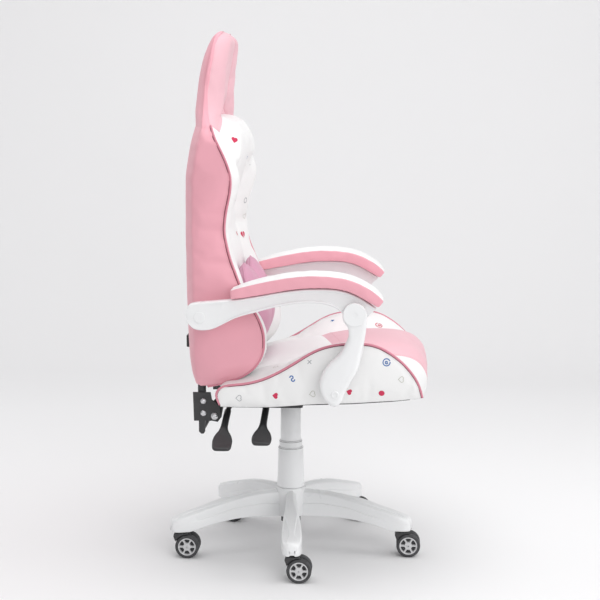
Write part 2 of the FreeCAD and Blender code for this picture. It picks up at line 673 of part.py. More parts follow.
def lumbar_pillow():
    """Heart-shaped cushion, thick at its foot, leaning on the back."""
    side = [(136, 517), (100, 517), (66, 537), (52, 563), (46, 590), (46, 619), (58, 665),
            (77, 707), (89, 725), (102, 739), (114, 741), (126, 733), (132, 715), (134, 640),
            (136, 560)]
    body = side_polygon_slab(side, -155, 155)
    half = [(0, 517), (48, 520), (98, 545), (138, 590), (152, 635), (150, 680), (130, 722),
            (96, 741), (58, 736), (24, 714), (0, 700)]
    front = half + [(-x, z) for x, z in reversed(half[1:-1])]
    wire = polygon(front, lambda p: V(p[0], 0, p[1]))
    heart = body.common(Part.Face(wire).extrude(V(0, 200, 0)))
    return heart.cut(back_cushion().translated(V(0, -0.6, 0)))


def lumbar_buckle():
    buckle = block(-17, 17, 248.5, 257, 519, 550)
    buckle = buckle.makeFillet(2.5, [e for e in buckle.Edges if e.BoundBox.YLength > 5])
    for z in (525, 538):
        buckle = buckle.cut(block(-11, 11, 248, 258, z, z + 6))
    return buckle


# ---------------------------------------------------------------- armrests
def arm_beam():
    rear_end = [(214, 672), (223, 662), (226, 645), (220, 628), (206, 614), (188, 609), (166, 611)]
    belly = [(166, 611), (143, 622), (112, 638), (66, 651), (18, 664), (-44, 675), (-90, 674),
             (-126, 664), (-146, 648)]
    nose = [(-146, 648), (-158, 634), (-176, 629), (-194, 637), (-206, 655)]
    tip = [(-206, 655), (-220, 662)]
    crest = [(-220, 662), (-191, 684), (-164, 698), (-124, 708), (-71, 709), (-18, 704),
             (62, 690), (116, 682)]
    heel = [(116, 682), (174, 677), (214, 672)]
    beam = side_slab([rear_end, belly, nose, tip, crest, heel], BEAM_INNER, BEAM_OUTER)
    beam = round_side_edges(beam, BEAM_ROUND, (BEAM_INNER, BEAM_OUTER))
    beam = beam.cut(cross_pin(BEAM_REAR, 280, 318, PIVOT_RADIUS + RUNNING_GAP))
    beam = beam.cut(cross_pin(BEAM_REAR, BEAM_OUTER - REAR_CAP_SEAT, BEAM_OUTER + 1,
                              REAR_CAP_RADIUS))
    return beam.cut(cross_pin(BEAM_FRONT, 302, 330, FRONT_PIN_RADIUS + OPEN_PIVOT_GAP))


def pentagon(centre, radius):
    angles = [math.radians(90 + 72 * index) for index in range(5)]
    return [(centre[0] + radius * math.cos(a), centre[1] + radius * math.sin(a)) for a in angles]


def arm_rear_cap():
    cap = cross_pin(BEAM_REAR, BEAM_OUTER - REAR_CAP_SEAT, BEAM_OUTER + 1.0, REAR_CAP_RADIUS)
    cap = round_side_edges(cap, 0.8, (BEAM_OUTER + 1.0,))
    return cap.cut(side_polygon_slab(pentagon(BEAM_REAR, 5.5), BEAM_OUTER + 0.2, BEAM_OUTER + 2))


def arm_pad():
    """Padded rest: wide, slightly crowned, following the beam's bow."""
    top = [(119, 706), (62, 722), (-18, 737), (-71, 742), (-124, 739), (-164, 731), (-203, 713),
           (-234, 690)]
    front = [(-234, 690), (-236, 680), (-224, 669)]
    bottom = [(-224, 669), (-190, 687), (-164, 701), (-124, 711), (-71, 712), (-18, 707),
              (62, 693), (116, 685)]
    rear = [(116, 685), (122, 694), (119, 706)]
    pad = side_slab([top, front, bottom, rear], PAD_INNER, PAD_OUTER)
    return round_side_edges(pad, PAD_ROUND, (PAD_INNER, PAD_OUTER))


def upright():
    """Curved link outside the beam; thick at its foot, thin where it covers the beam."""
    front = [(-197, 655), (-197, 623), (-193, 590), (-186, 554), (-176, 517), (-158, 488),
             (-146, 464), (-136, 440)]
    foot = [(-136, 440), (-128, 434), (-120, 433), (-108, 437)]
    rear = [(-108, 437), (-92, 460), (-88, 482), (-95, 512), (-110, 534), (-134, 555), (-149, 580),
            (-157, 602), (-155, 622), (-145, 634)]
    top = [(-145, 634), (-142, 651), (-150, 671), (-170, 679), (-190, 671), (-197, 655)]
    link = side_slab([front, foot, rear, top], UPRIGHT_INNER, UPRIGHT_OUTER)
    link = round_side_edges(link, UPRIGHT_ROUND, (UPRIGHT_INNER, UPRIGHT_OUTER))
    beam_room = block(UPRIGHT_INNER - 1, BEAM_OUTER + 1.2, -260, -80, 607, 720)
    link = link.cut(beam_room)
    link = link.cut(cross_pin(UPRIGHT_FOOT, 290, 330, PIVOT_RADIUS + RUNNING_GAP))
    pin = cross_pin(BEAM_FRONT, 304, 325, FRONT_PIN_RADIUS)
    return link.fuse(pin)


def upright_caps():
    """Round front cover with a five-sided recess, and the small foot cover."""
    caps = []
    face = UPRIGHT_OUTER + CAP_THICKNESS
    for spot, radius, recess in ((BEAM_FRONT, FRONT_CAP_RADIUS, 7.5),
                                 (UPRIGHT_FOOT, FOOT_CAP_RADIUS, 6.0)):
        cap = cross_pin(spot, UPRIGHT_OUTER + RUNNING_GAP, face, radius)
        cap = round_side_edges(cap, 1.2, (face,))
        caps.append(cap.cut(side_polygon_slab(pentagon(spot, recess), face - 1.2, face + 1)))
    return Part.makeCompound(caps)


def upright_pivot_bolts():
    """Shoulder bolts at the uprights' feet, with their spacer collars."""
    shank = cross_pin(UPRIGHT_FOOT, RAIL_X + 25, 329, PIVOT_RADIUS)
    spacer = cross_pin(UPRIGHT_FOOT, SEAT_HALF_WIDTH + 0.5, UPRIGHT_INNER - 0.4, SPACER_RADIUS)
    return both_sides(shank.fuse(spacer))


# ---------------------------------------------------------------- recline strut
def strut_points():
    front = V(STRUT_X, STRUT_FRONT[0], STRUT_FRONT[1])
    rear = V(STRUT_X, STRUT_REAR[0], STRUT_REAR[1])
    along = (rear - front).normalize()
    return front, rear, along


def strut_cylinder():
    front, rear, along = strut_points()
    bore = STRUT_PIN_RADIUS + RUNNING_GAP
    tube = rod(front + along * 14, front + along * 175, STRUT_TUBE_RADIUS)
    tube = tube.cut(rod(front + along * 30, front + along * 176, bore))
    eye = cross_pin(STRUT_FRONT, STRUT_X - 9, STRUT_X + 9, 10.0)
    neck = rod(front, front + along * 16, 7.0)
    body = tube.fuse(neck).fuse(eye)
    body = body.cut(cross_pin(STRUT_FRONT, STRUT_X - 12, STRUT_X + 12, bore))
    return body.removeSplitter()


def strut_rod():
    """Rod with an eye whose hole leaves room for the linkage's small mismatch."""
    front, rear, along = strut_points()
    shaft = rod(front + along * 75, rear - along * 9, STRUT_PIN_RADIUS)
    eye = cross_pin(STRUT_REAR, STRUT_X - 6, STRUT_X + 6, 12.5)
    hole = cross_pin(STRUT_REAR, STRUT_X - 8, STRUT_X + 8, STRUT_PIN_RADIUS + STRUT_PIVOT_GAP)
    return shaft.fuse(eye).cut(hole)


# ---------------------------------------------------------------- write everything
def write_all():
    os.makedirs("parts", exist_ok=True)
    write("star_base", star_base())
    write_casters()
    write("gas_outer_tube", gas_outer_tube())
    write("gas_rod", gas_rod())
    write("gas_cylinder", gas_cylinder())
    write("release_button", release_button())
    write("cover_lower", column_cover(LOWER_COVER, False))
    write("cover_middle", column_cover(MIDDLE_COVER, False))
    write("cover_upper", column_cover(UPPER_COVER, True))
    write("mechanism_plate", mechanism_plate())
    write("mechanism_bolts", mechanism_bolts())
    write("height_lever_rod", height_lever_rod())
    write("height_lever_paddle", paddle(HEIGHT_LEVER_Y, (-258, 367.2), (-312, 336)))
    write("recline_lever_rod", lever_rod(RECLINE_LEVER_Y, LEVER_PIVOT[0] + 8, 270, 361))
    write("recline_lever_paddle", paddle(RECLINE_LEVER_Y, (-266, 362.2), (-326, 325)))
    write("seat_frame", seat_frame())
    write("seat_hinge_brackets", seat_hinge_brackets())
    write("seat_dust_cover", seat_dust_cover())
    write("seat_cushion", seat_cushion())
    for name, side in SIDES.items():
        write("seat_bolster_" + name, for_side(seat_bolster(), side))
        write("arm_beam_" + name, for_side(arm_beam(), side))
        write("arm_rear_cap_" + name, for_side(arm_rear_cap(), side))
        write("arm_pad_" + name, for_side(arm_pad(), side))
        write("upright_" + name, for_side(upright(), side))
        write("upright_caps_" + name, for_side(upright_caps(), side))
    write("upright_pivot_bolts", upright_pivot_bolts())
    write("back_cushion", back_cushion())
    write("back_frame", back_frame())
    write("back_hinge_plates", back_hinge_plates())
    write("back_bolts", back_bolts())
    write("arm_pivot_bolts", arm_pivot_bolts())
    write("lumbar_pillow", lumbar_pillow())
    write("lumbar_buckle", lumbar_buckle())
    write("strut_cylinder", strut_cylinder())
    write("strut_rod", strut_rod())


write_all()
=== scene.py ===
import math

import bmesh
import bpy
import numpy as np
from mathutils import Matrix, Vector
from mathutils.bvhtree import BVHTree


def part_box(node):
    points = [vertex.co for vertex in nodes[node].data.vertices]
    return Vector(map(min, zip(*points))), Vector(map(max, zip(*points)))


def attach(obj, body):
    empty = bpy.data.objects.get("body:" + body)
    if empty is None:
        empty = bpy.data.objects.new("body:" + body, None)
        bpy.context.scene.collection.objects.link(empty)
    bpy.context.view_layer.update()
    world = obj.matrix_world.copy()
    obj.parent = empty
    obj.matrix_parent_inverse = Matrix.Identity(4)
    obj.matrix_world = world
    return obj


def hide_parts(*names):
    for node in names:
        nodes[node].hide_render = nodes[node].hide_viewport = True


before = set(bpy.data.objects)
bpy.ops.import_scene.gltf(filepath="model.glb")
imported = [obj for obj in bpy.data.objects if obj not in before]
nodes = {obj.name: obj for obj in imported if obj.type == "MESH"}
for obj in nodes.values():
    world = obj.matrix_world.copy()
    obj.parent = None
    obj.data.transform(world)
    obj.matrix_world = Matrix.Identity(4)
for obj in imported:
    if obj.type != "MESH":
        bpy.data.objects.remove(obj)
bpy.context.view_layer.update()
scene = bpy.context.scene
MM = 0.001
SIDES = (("right", -1), ("left", 1))


# ---------------- camera, lights, floor
def add_camera():
    data = bpy.data.cameras.new("camera")
    data.sensor_width = 36.0
    data.lens = 89.48
    camera = bpy.data.objects.new("camera", data)
    camera.location = (-3.740, -0.246, 1.144)
    look = Vector((0.9893, 0.0588, -0.1333))
    camera.rotation_euler = look.to_track_quat("-Z", "Y").to_euler()
    scene.collection.objects.link(camera)
    scene.camera = camera


def add_area(name, place, aim, size, power, color=(1, 1, 1)):
    data = bpy.data.lights.new(name, "AREA")
    data.shape = "RECTANGLE"
    data.size, data.size_y = size
    data.energy = power
    data.color = color
    light = bpy.data.objects.new(name, data)
    light.location = place
    light.rotation_euler = (Vector(aim) - Vector(place)).to_track_quat("-Z", "Y").to_euler()
    scene.collection.objects.link(light)


def add_studio():
    middle = (0, 0, 0.65)
    add_area("overhead", (-0.3, -0.3, 3.2), middle, (3.2, 3.2), 52)
    add_area("camera_side", (-3.4, -1.6, 2.1), middle, (2.4, 2.4), 46)
    add_area("front", (-0.6, -3.6, 1.5), middle, (2.4, 2.6), 25)
    add_area("rear", (1.2, 3.2, 1.8), middle, (2.4, 2.4), 20)
    world = bpy.data.worlds.new("studio")
    world.use_nodes = True
    background = world.node_tree.nodes["Background"]
    background.inputs["Color"].default_value = (0.96, 0.965, 0.975, 1)
    background.inputs["Strength"].default_value = 0.50
    scene.world = world
    scene.view_settings.view_transform = "Standard"


def add_floor():
    mesh = bpy.data.meshes.new("floor")
    reach, wall, bend = 7.0, 3.2, 0.9
    profile = [(-reach, 0.0), (wall - bend, 0.0)]
    profile += [(wall - bend + bend * math.sin(a), bend - bend * math.cos(a))
                for a in np.linspace(0.1, math.pi / 2, 14)]
    profile.append((wall, 5.0))
    verts = [(x, y, z) for x, z in profile for y in (-7.0, 7.0)]
    faces = [(2 * i, 2 * i + 2, 2 * i + 3, 2 * i + 1) for i in range(len(profile) - 1)]
    mesh.from_pydata(verts, [], faces)
    mesh.shade_smooth()
    floor = bpy.data.objects.new("floor", mesh)
    scene.collection.objects.link(floor)
    floor.data.materials.append(plain_paper())


# ---------------- materials
class Nodes:
    """Short way to add and link shader nodes, with coordinates fixed to the object."""

    def __init__(self, name, color, roughness, **sockets):
        self.material = bpy.data.materials.new(name)
        self.material.use_nodes = True
        self.tree = self.material.node_tree
        self.shader = self.tree.nodes["Principled BSDF"]
        self.shader.inputs["Base Color"].default_value = (*color, 1)
        self.shader.inputs["Roughness"].default_value = roughness
        for key, value in sockets.items():
            self.shader.inputs[key.replace("_", " ")].default_value = value
        self.place = self.tree.nodes.new("ShaderNodeTexCoord").outputs["Object"]
        self.material.diffuse_color = (*color, 1)

    def add(self, kind, links=None, **values):
        node = self.tree.nodes.new("ShaderNode" + kind)
        for key, value in values.items():
            if key in node.inputs:
                node.inputs[key].default_value = value
            else:
                setattr(node, key, value)
        for key, output in (links or {}).items():
            self.tree.links.new(output, node.inputs[key])
        return node

    def noise(self, scale, detail=2.0, rough=0.5):
        return self.add("TexNoise", {"Vector": self.place}, Scale=scale, Detail=detail,
                        Roughness=rough)

    def cells(self, scale, feature="F1"):
        return self.add("TexVoronoi", {"Vector": self.place}, Scale=scale, feature=feature)

    def span(self, output, low, high, to_low, to_high):
        node = self.add("MapRange", {"Value": output})
        for key, value in (("From Min", low), ("From Max", high), ("To Min", to_low),
                           ("To Max", to_high)):
            node.inputs[key].default_value = value
        return node.outputs["Result"]

    def blend_color(self, factor, first, second):
        node = self.add("Mix", data_type="RGBA")
        self.tree.links.new(factor, node.inputs["Factor"])
        node.inputs[6].default_value = (*first, 1)
        node.inputs[7].default_value = (*second, 1)
        return node.outputs[2]

    def into(self, socket, output):
        self.tree.links.new(output, self.shader.inputs[socket])

    def bump(self, layers):
        """Stacks bump layers: (height output, strength, distance)."""
        normal = None
        for height, strength, distance in layers:
            node = self.add("Bump", {"Height": height}, Strength=strength, Distance=distance)
            if normal is not None:
                self.tree.links.new(normal, node.inputs["Normal"])
            normal = node.outputs["Normal"]
        self.into("Normal", normal)


def shade(color, factor):
    return tuple(min(1.0, c * factor) for c in color)


def plain_paper():
    m = Nodes("pale_paper", (0.88, 0.875, 0.88), 0.85)
    tone = m.blend_color(m.noise(0.7).outputs["Fac"], (0.87, 0.865, 0.87), (0.90, 0.895, 0.90))
    m.into("Base Color", tone)
    return m.material


def leather(name, color, deep, roughness=0.46, grain=1.0):
    """Coated fabric: fine pebble grain, faint pressed creases, slow colour drift."""
    m = Nodes(name, color, roughness, Specular_IOR_Level=0.42, Coat_Weight=0.05,
              Coat_Roughness=0.35, Sheen_Weight=0.06, Sheen_Roughness=0.4)
    drift = m.span(m.noise(6.0, 3.0).outputs["Fac"], 0.35, 0.7, 0.0, 1.0)
    pebble = m.cells(820.0, "SMOOTH_F1").outputs["Distance"]
    pores = m.noise(1500.0, 2.0).outputs["Fac"]
    soft_crease = m.noise(34.0, 4.0, 0.55).outputs["Fac"]
    m.into("Base Color", m.blend_color(drift, color, deep))
    m.into("Roughness", m.span(pebble, 0.0, 0.6, roughness - 0.07, roughness + 0.1))
    m.bump([(soft_crease, 0.10 * grain, 0.0014), (pebble, 0.34 * grain, 0.00035),
            (pores, 0.12 * grain, 0.0001)])
    return m.material


def moulded_plastic(name, color, roughness=0.3, texture=0.15, coat=0.25):
    m = Nodes(name, color, roughness, Specular_IOR_Level=0.5, Coat_Weight=coat,
              Coat_Roughness=0.18)
    flow = m.noise(9.0, 2.0).outputs["Fac"]
    spark = m.noise(1300.0, 1.0).outputs["Fac"]
    m.into("Base Color", m.blend_color(m.span(flow, 0.3, 0.7, 0, 1), color, shade(color, 0.965)))
    m.into("Roughness", m.span(flow, 0.3, 0.7, roughness - 0.03, roughness + 0.05))
    m.bump([(flow, 0.03, 0.002), (spark, texture, 0.00008)])
    return m.material


def painted_steel(name, color, roughness=0.48):
    """Powder coat: orange-peel skin with slightly lighter, polished high spots."""
    m = Nodes(name, color, roughness, Specular_IOR_Level=0.5)
    peel = m.noise(420.0, 2.0).outputs["Fac"]
    wear = m.span(m.noise(24.0, 4.0).outputs["Fac"], 0.45, 0.8, 0, 1)
    m.into("Base Color", m.blend_color(wear, color, shade(color, 1.35)))
    m.into("Roughness", m.span(peel, 0.3, 0.7, roughness - 0.08, roughness + 0.08))
    m.bump([(peel, 0.35, 0.00025)])
    return m.material


def plated_steel(name, color, roughness=0.25):
    m = Nodes(name, color, roughness, Metallic=1.0)
    scratch = m.noise(260.0, 5.0, 0.7).outputs["Fac"]
    m.into("Base Color", m.blend_color(scratch, shade(color, 0.82), color))
    m.into("Roughness", m.span(scratch, 0.3, 0.7, roughness - 0.08, roughness + 0.14))
    m.bump([(scratch, 0.12, 0.0001)])
    return m.material


def rolling_rubber(name, color):
    m = Nodes(name, color, 0.52, Specular_IOR_Level=0.4)
    dust = m.span(m.noise(60.0, 4.0).outputs["Fac"], 0.45, 0.75, 0, 1)
    grain = m.noise(900.0, 2.0).outputs["Fac"]
    m.into("Base Color", m.blend_color(dust, color, shade(color, 1.6)))
    m.into("Roughness", m.span(grain, 0.3, 0.7, 0.44, 0.62))
    m.bump([(grain, 0.2, 0.00015)])
    return m.material


def woven(name, color, pitch=0.0011):
    """Plain weave from two crossed wave patterns."""
    m = Nodes(name, color, 0.85, Sheen_Weight=0.25, Sheen_Roughness=0.5)
    scale = 1.0 / pitch / 2.0
    warp = m.add("TexWave", {"Vector": m.place}, Scale=scale, bands_direction="X")
    weft = m.add("TexWave", {"Vector": m.place}, Scale=scale, bands_direction="Y")
    both = m.add("Math", {0: warp.outputs["Fac"], 1: weft.outputs["Fac"]}, operation="MAXIMUM")
    fuzz = m.noise(240.0, 3.0).outputs["Fac"]
    m.into("Base Color", m.blend_color(fuzz, shade(color, 0.75), shade(color, 1.3)))
    m.bump([(both.outputs[0], 0.5, 0.0003), (fuzz, 0.2, 0.0003)])
    return m.material


def thread(name, color):
    m = Nodes(name, color, 0.6, Sheen_Weight=0.2)
    twist = m.add("TexWave", {"Vector": m.place}, Scale=900.0, bands_direction="DIAGONAL")
    m.into("Base Color", m.blend_color(twist.outputs["Fac"], shade(color, 0.85), color))
    m.bump([(twist.outputs["Fac"], 0.4, 0.0002)])
    return m.material


def ink(name, color):
    """Printed motif: matt ink that keeps a trace of the grain under it."""
    m = Nodes(name, color, 0.5, Specular_IOR_Level=0.35)
    pebble = m.cells(820.0, "SMOOTH_F1").outputs["Distance"]
    m.into("Base Color", m.blend_color(m.noise(180.0).outputs["Fac"], shade(color, 0.93), color))
    m.bump([(pebble, 0.2, 0.0003)])
    return m.material


PINK = (0.855, 0.405, 0.475)
PALE_PINK = (0.81, 0.485, 0.54)
WHITE = (0.86, 0.86, 0.855)
MAT = {
    "pink": leather("pink_leather", PINK, shade(PINK, 0.93)),
    "pale_pink": leather("pale_pink_leather", PALE_PINK, shade(PALE_PINK, 0.95)),
    "white": leather("white_leather", WHITE, shade(WHITE, 0.975), 0.42),
    "mauve": leather("mauve_leather", (0.64, 0.32, 0.44), (0.59, 0.285, 0.40)),
    "piping": leather("piping_leather", (0.70, 0.27, 0.34), (0.62, 0.22, 0.29), 0.4, 0.6),
    # dark maroon cord laid beside the piping: painted shadow of the seam
    "groove": leather("seam_shadow", (0.26, 0.07, 0.10), (0.2, 0.05, 0.08), 0.6, 0.5),
    "white_plastic": moulded_plastic("white_plastic", (0.86, 0.865, 0.87)),
    "black_plastic": moulded_plastic("black_plastic", (0.035, 0.035, 0.037), 0.42, 0.3, 0.05),
    "lever_plastic": moulded_plastic("lever_plastic", (0.028, 0.028, 0.03), 0.36, 0.25, 0.1),
    "rim_plastic": moulded_plastic("rim_plastic", (0.62, 0.62, 0.63), 0.32, 0.1, 0.2),
    "dark_steel": painted_steel("dark_steel", (0.038, 0.038, 0.04)),
    "zinc": plated_steel("zinc_steel", (0.78, 0.78, 0.80)),
    "gas_steel": plated_steel("gas_steel", (0.60, 0.61, 0.63), 0.2),
    "tyre": rolling_rubber("caster_tread", (0.05, 0.05, 0.053)),
    "cloth": woven("black_cloth", (0.03, 0.03, 0.032)),
    "pink_thread": thread("pink_thread", (0.78, 0.42, 0.47)),
    "white_thread": thread("white_thread", (0.84, 0.84, 0.83)),
    "seam_grey": moulded_plastic("seam_grey", (0.16, 0.16, 0.165), 0.5, 0.1, 0.0),
    "crimson": ink("crimson_ink", (0.62, 0.035, 0.10)),
    "blue": ink("blue_ink", (0.025, 0.14, 0.42)),
    "grey": ink("grey_ink", (0.42, 0.43, 0.45)),
    "cream": ink("cream_ink", (0.58, 0.58, 0.52)),
}


# ---------------- curves and meshes
def smooth(x, y, at, calm=True):
    """Cubic interpolation of the columns of y over x; calm keeps it from overshooting."""
    x, y, at = (np.asarray(a, float) for a in (x, y, at))
    y = y.reshape(len(x), -1)
    step = np.diff(x)[:, None]
    slope = np.diff(y, axis=0) / step
    tangent = np.empty_like(y)
    tangent[0], tangent[-1] = slope[0], slope[-1]
    before, after = slope[:-1], slope[1:]
    if calm:
        product = before * after
        total = np.where(product > 0, before + after, 1.0)
        tangent[1:-1] = np.where(product > 0, 2 * product / total, 0.0)
    else:
        a, b = step[:-1], step[1:]
        tangent[1:-1] = (before * b + after * a) / (a + b)
    i = np.clip(np.searchsorted(x, at, side="right") - 1, 0, len(x) - 2)
    t = ((at - x[i]) / (x[i + 1] - x[i]))[:, None]
    h = step[i]
    return ((2 * t**3 - 3 * t**2 + 1) * y[i] + (t**3 - 2 * t**2 + t) * h * tangent[i]
            + (3 * t**2 - 2 * t**3) * y[i + 1] + (t**3 - t**2) * h * tangent[i + 1])


def along(points):
    points = np.asarray(points, float)
    return np.concatenate([[0.0], np.cumsum(np.linalg.norm(np.diff(points, axis=0), axis=1))])


def through(points, shares, calm=False):
    """Points at the given shares of the length of a smooth curve through points."""
    points = np.asarray(points, float)
    run = along(points)
    dense = smooth(run, points, np.linspace(0, run[-1], 200), calm)
    length = along(dense)
    at = np.asarray(shares) * length[-1]
    return np.stack([np.interp(at, length, dense[:, k]) for k in range(dense.shape[1])], axis=1)


def chained(*pieces):
    """One run of points from pieces that share their end points."""
    return np.concatenate([pieces[0]] + [p[1:] for p in pieces[1:]])


def spread(cells, near_start, near_end):
    """Shares 0..1 in that many cells, with one narrow cell beside each seam."""
    first = [0.0, near_start] if near_start else [0.0]
    last = [1.0 - near_end, 1.0] if near_end else [1.0]
    inner = cells + 1 - len(first) - len(last)
    middle = np.linspace(first[-1], last[0], inner + 2)[1:-1]
    return np.concatenate([first, middle, last])


def new_object(name, verts, faces, materials=(), face_materials=None, sharp=0):
    mesh = bpy.data.meshes.new(name)
    mesh.from_pydata([tuple(v) for v in verts], [], faces)
    for m in materials:
        mesh.materials.append(MAT[m])
    if face_materials is not None:
        mesh.polygons.foreach_set("material_index", face_materials)
    shell = bmesh.new()
    shell.from_mesh(mesh)
    bmesh.ops.recalc_face_normals(shell, faces=shell.faces)
    if shell.calc_volume(signed=True) < 0:
        bmesh.ops.reverse_faces(shell, faces=shell.faces)
    shell.to_mesh(mesh)
    shell.free()
    mesh.shade_smooth()
    if sharp:
        mesh.set_sharp_from_angle(angle=math.radians(sharp))
    obj = bpy.data.objects.new(name, mesh)
    scene.collection.objects.link(obj)
    return obj


def vertex_rows(mesh, field):
    flat = np.empty(len(mesh.vertices) * 3)
    mesh.vertices.foreach_get(field, flat)
    return flat.reshape(-1, 3)


def coords(obj):
    return vertex_rows(obj.data, "co")


def normals(obj):
    return vertex_rows(obj.data, "normal")


def set_coords(obj, points):
    obj.data.vertices.foreach_set("co", np.asarray(points, float).ravel())
    obj.data.update()


def settle(obj):
    """Applies the object's modifiers."""
    graph = bpy.context.evaluated_depsgraph_get()
    mesh = bpy.data.meshes.new_from_object(obj.evaluated_get(graph))
    obj.modifiers.clear()
    old = obj.data
    obj.data = mesh
    bpy.data.meshes.remove(old)
    obj.vertex_groups.clear()
    obj.data.shade_smooth()


def subdivide(obj, levels=1):
    modifier = obj.modifiers.new("fine", "SUBSURF")
    modifier.levels = modifier.render_levels = levels
    settle(obj)


def inflate(obj, pinned, pressure=4.0, limit=6.0, slack=0.0, stiffness=15.0, frames=20):
    """Blows a padded piece up between its pinned seams; limit caps the move, in mm."""
    rest = coords(obj)
    group = obj.vertex_groups.new(name="seams")
    group.add([int(i) for i in pinned], 1.0, "REPLACE")
    cloth = obj.modifiers.new("Cloth", "CLOTH")
    s = cloth.settings
    s.quality = 5
    s.mass = 0.3
    s.tension_stiffness = s.compression_stiffness = stiffness
    s.shear_stiffness = stiffness / 3
    s.bending_stiffness = 0.6
    s.use_pressure = True
    s.uniform_pressure_force = pressure
    s.vertex_group_mass = "seams"
    s.shrink_min = -slack
    s.effector_weights.gravity = 0.0
    cloth.point_cache.frame_start = 1
    cloth.point_cache.frame_end = frames
    for number in range(1, frames + 1):
        scene.frame_set(number)
    graph = bpy.context.evaluated_depsgraph_get()
    moved = vertex_rows(obj.evaluated_get(graph).to_mesh(), "co") - rest
    obj.modifiers.remove(cloth)
    scene.frame_set(1)
    size = np.linalg.norm(moved, axis=1, keepdims=True)
    cap = limit * MM
    moved *= np.where(size > 1e-9, cap * np.tanh(size / cap) / np.maximum(size, 1e-9), 0)
    set_coords(obj, rest + moved)
    obj.vertex_groups.clear()


def sink(obj, indices, depth):
    """Draws seam points into the padding, depth in mm."""
    points, up = coords(obj), normals(obj)
    indices = np.asarray(indices, int)
    points[indices] -= up[indices] * depth * MM
    set_coords(obj, points)


def grid_faces(rows, count, wrap_rows=False, wrap=True):
    """Quads over rows of count vertices each."""
    faces = []
    for r in range(rows if wrap_rows else rows - 1):
        n = (r + 1) % rows
        for j in range(count if wrap else count - 1):
            i = (j + 1) % count
            faces.append((r * count + j, r * count + i, n * count + i, n * count + j))
    return faces


def tube(path, radius, sides=8, closed=False):
    """Vertices and faces of a round cord along path; radius may be one number or many."""
    path = np.asarray(path, float)
    count = len(path)
    radii = np.full(count, radius) if np.isscalar(radius) else np.asarray(radius)
    ahead, behind = np.roll(path, -1, axis=0), np.roll(path, 1, axis=0)
    if not closed:
        ahead[-1], behind[0] = path[-1], path[0]
    heading = ahead - behind
    heading /= np.maximum(np.linalg.norm(heading, axis=1, keepdims=True), 1e-12)
    side = np.cross(heading[0], (0.0, 0.0, 1.0))
    if np.linalg.norm(side) < 0.1:
        side = np.cross(heading[0], (1.0, 0.0, 0.0))
    verts = []
    for k in range(count):
        side = side - heading[k] * side.dot(heading[k])
        side /= np.linalg.norm(side)
        other = np.cross(heading[k], side)
        for a in np.arange(sides) * 2 * math.pi / sides:
            verts.append(path[k] + radii[k] * (math.cos(a) * side + math.sin(a) * other))
    faces = grid_faces(count, sides, closed)
    if not closed:
        faces.append(tuple(range(sides))[::-1])
        faces.append(tuple((count - 1) * sides + j for j in range(sides)))
    return verts, faces


def joined(name, parts, sharp=30):
    """One object from (verts, faces, material) parts."""
    verts, faces, kinds, used = [], [], [], []
    for part_verts, part_faces, material in parts:
        if material not in used:
            used.append(material)
        start = len(verts)
        verts += list(part_verts)
        faces += [tuple(i + start for i in f) for f in part_faces]
        kinds += [used.index(material)] * len(part_faces)
    return new_object(name, verts, faces, used, kinds, sharp)


def trim(name, parts, material, owner):
    """Fine detail in one material, from (verts, faces) parts, that rides with its owner."""
    piece = joined(name, [(*part, material) for part in parts], 0)
    piece.parent = owner


def stand_in(piece, body, slot, *replaced):
    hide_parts(*replaced)
    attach(piece, body)


def resample(path, pitch):
    path = np.asarray(path, float)
    length = along(path)
    count = max(2, int(round(length[-1] / pitch)) + 1)
    at = np.linspace(0, length[-1], count)
    return np.stack([np.interp(at, length, path[:, k]) for k in range(3)], axis=1)


def relaxed(path, rounds=3):
    path = np.array(path, float)
    for _ in range(rounds):
        path[1:-1] = (path[:-2] + 2 * path[1:-1] + path[2:]) / 4
    return path


def stitches(paths, tree, lift=0.2, pitch=5.0, length=3.4, radius=0.45):
    """Rows of short raised stitches lying on the surface under each path."""
    parts = []
    for path in paths:
        spots = resample(path, pitch * MM)
        for a, b in zip(spots[:-1], spots[1:]):
            ahead = b - a
            reach = np.linalg.norm(ahead)
            if reach < 1e-6:
                continue
            half = ahead / reach * length * MM / 2
            middle = (a + b) / 2
            ends = []
            for spot in (middle - half, middle, middle + half):
                hit, normal, _, _ = tree.find_nearest(Vector(spot))
                rise = lift if len(ends) == 1 else -0.15
                ends.append(np.array(hit) + np.array(normal) * rise * MM)
            parts.append(tube(ends, [radius * MM * 0.6, radius * MM, radius * MM * 0.6], 5))
    return parts


def surface_tree(*objects):
    graph = bpy.context.evaluated_depsgraph_get()
    verts, faces = [], []
    for obj in objects:
        mesh = obj.evaluated_get(graph).to_mesh()
        start = len(verts)
        verts += [obj.matrix_world @ v.co for v in mesh.vertices]
        faces += [tuple(i + start for i in p.vertices) for p in mesh.polygons]
    return BVHTree.FromPolygons(verts, faces)


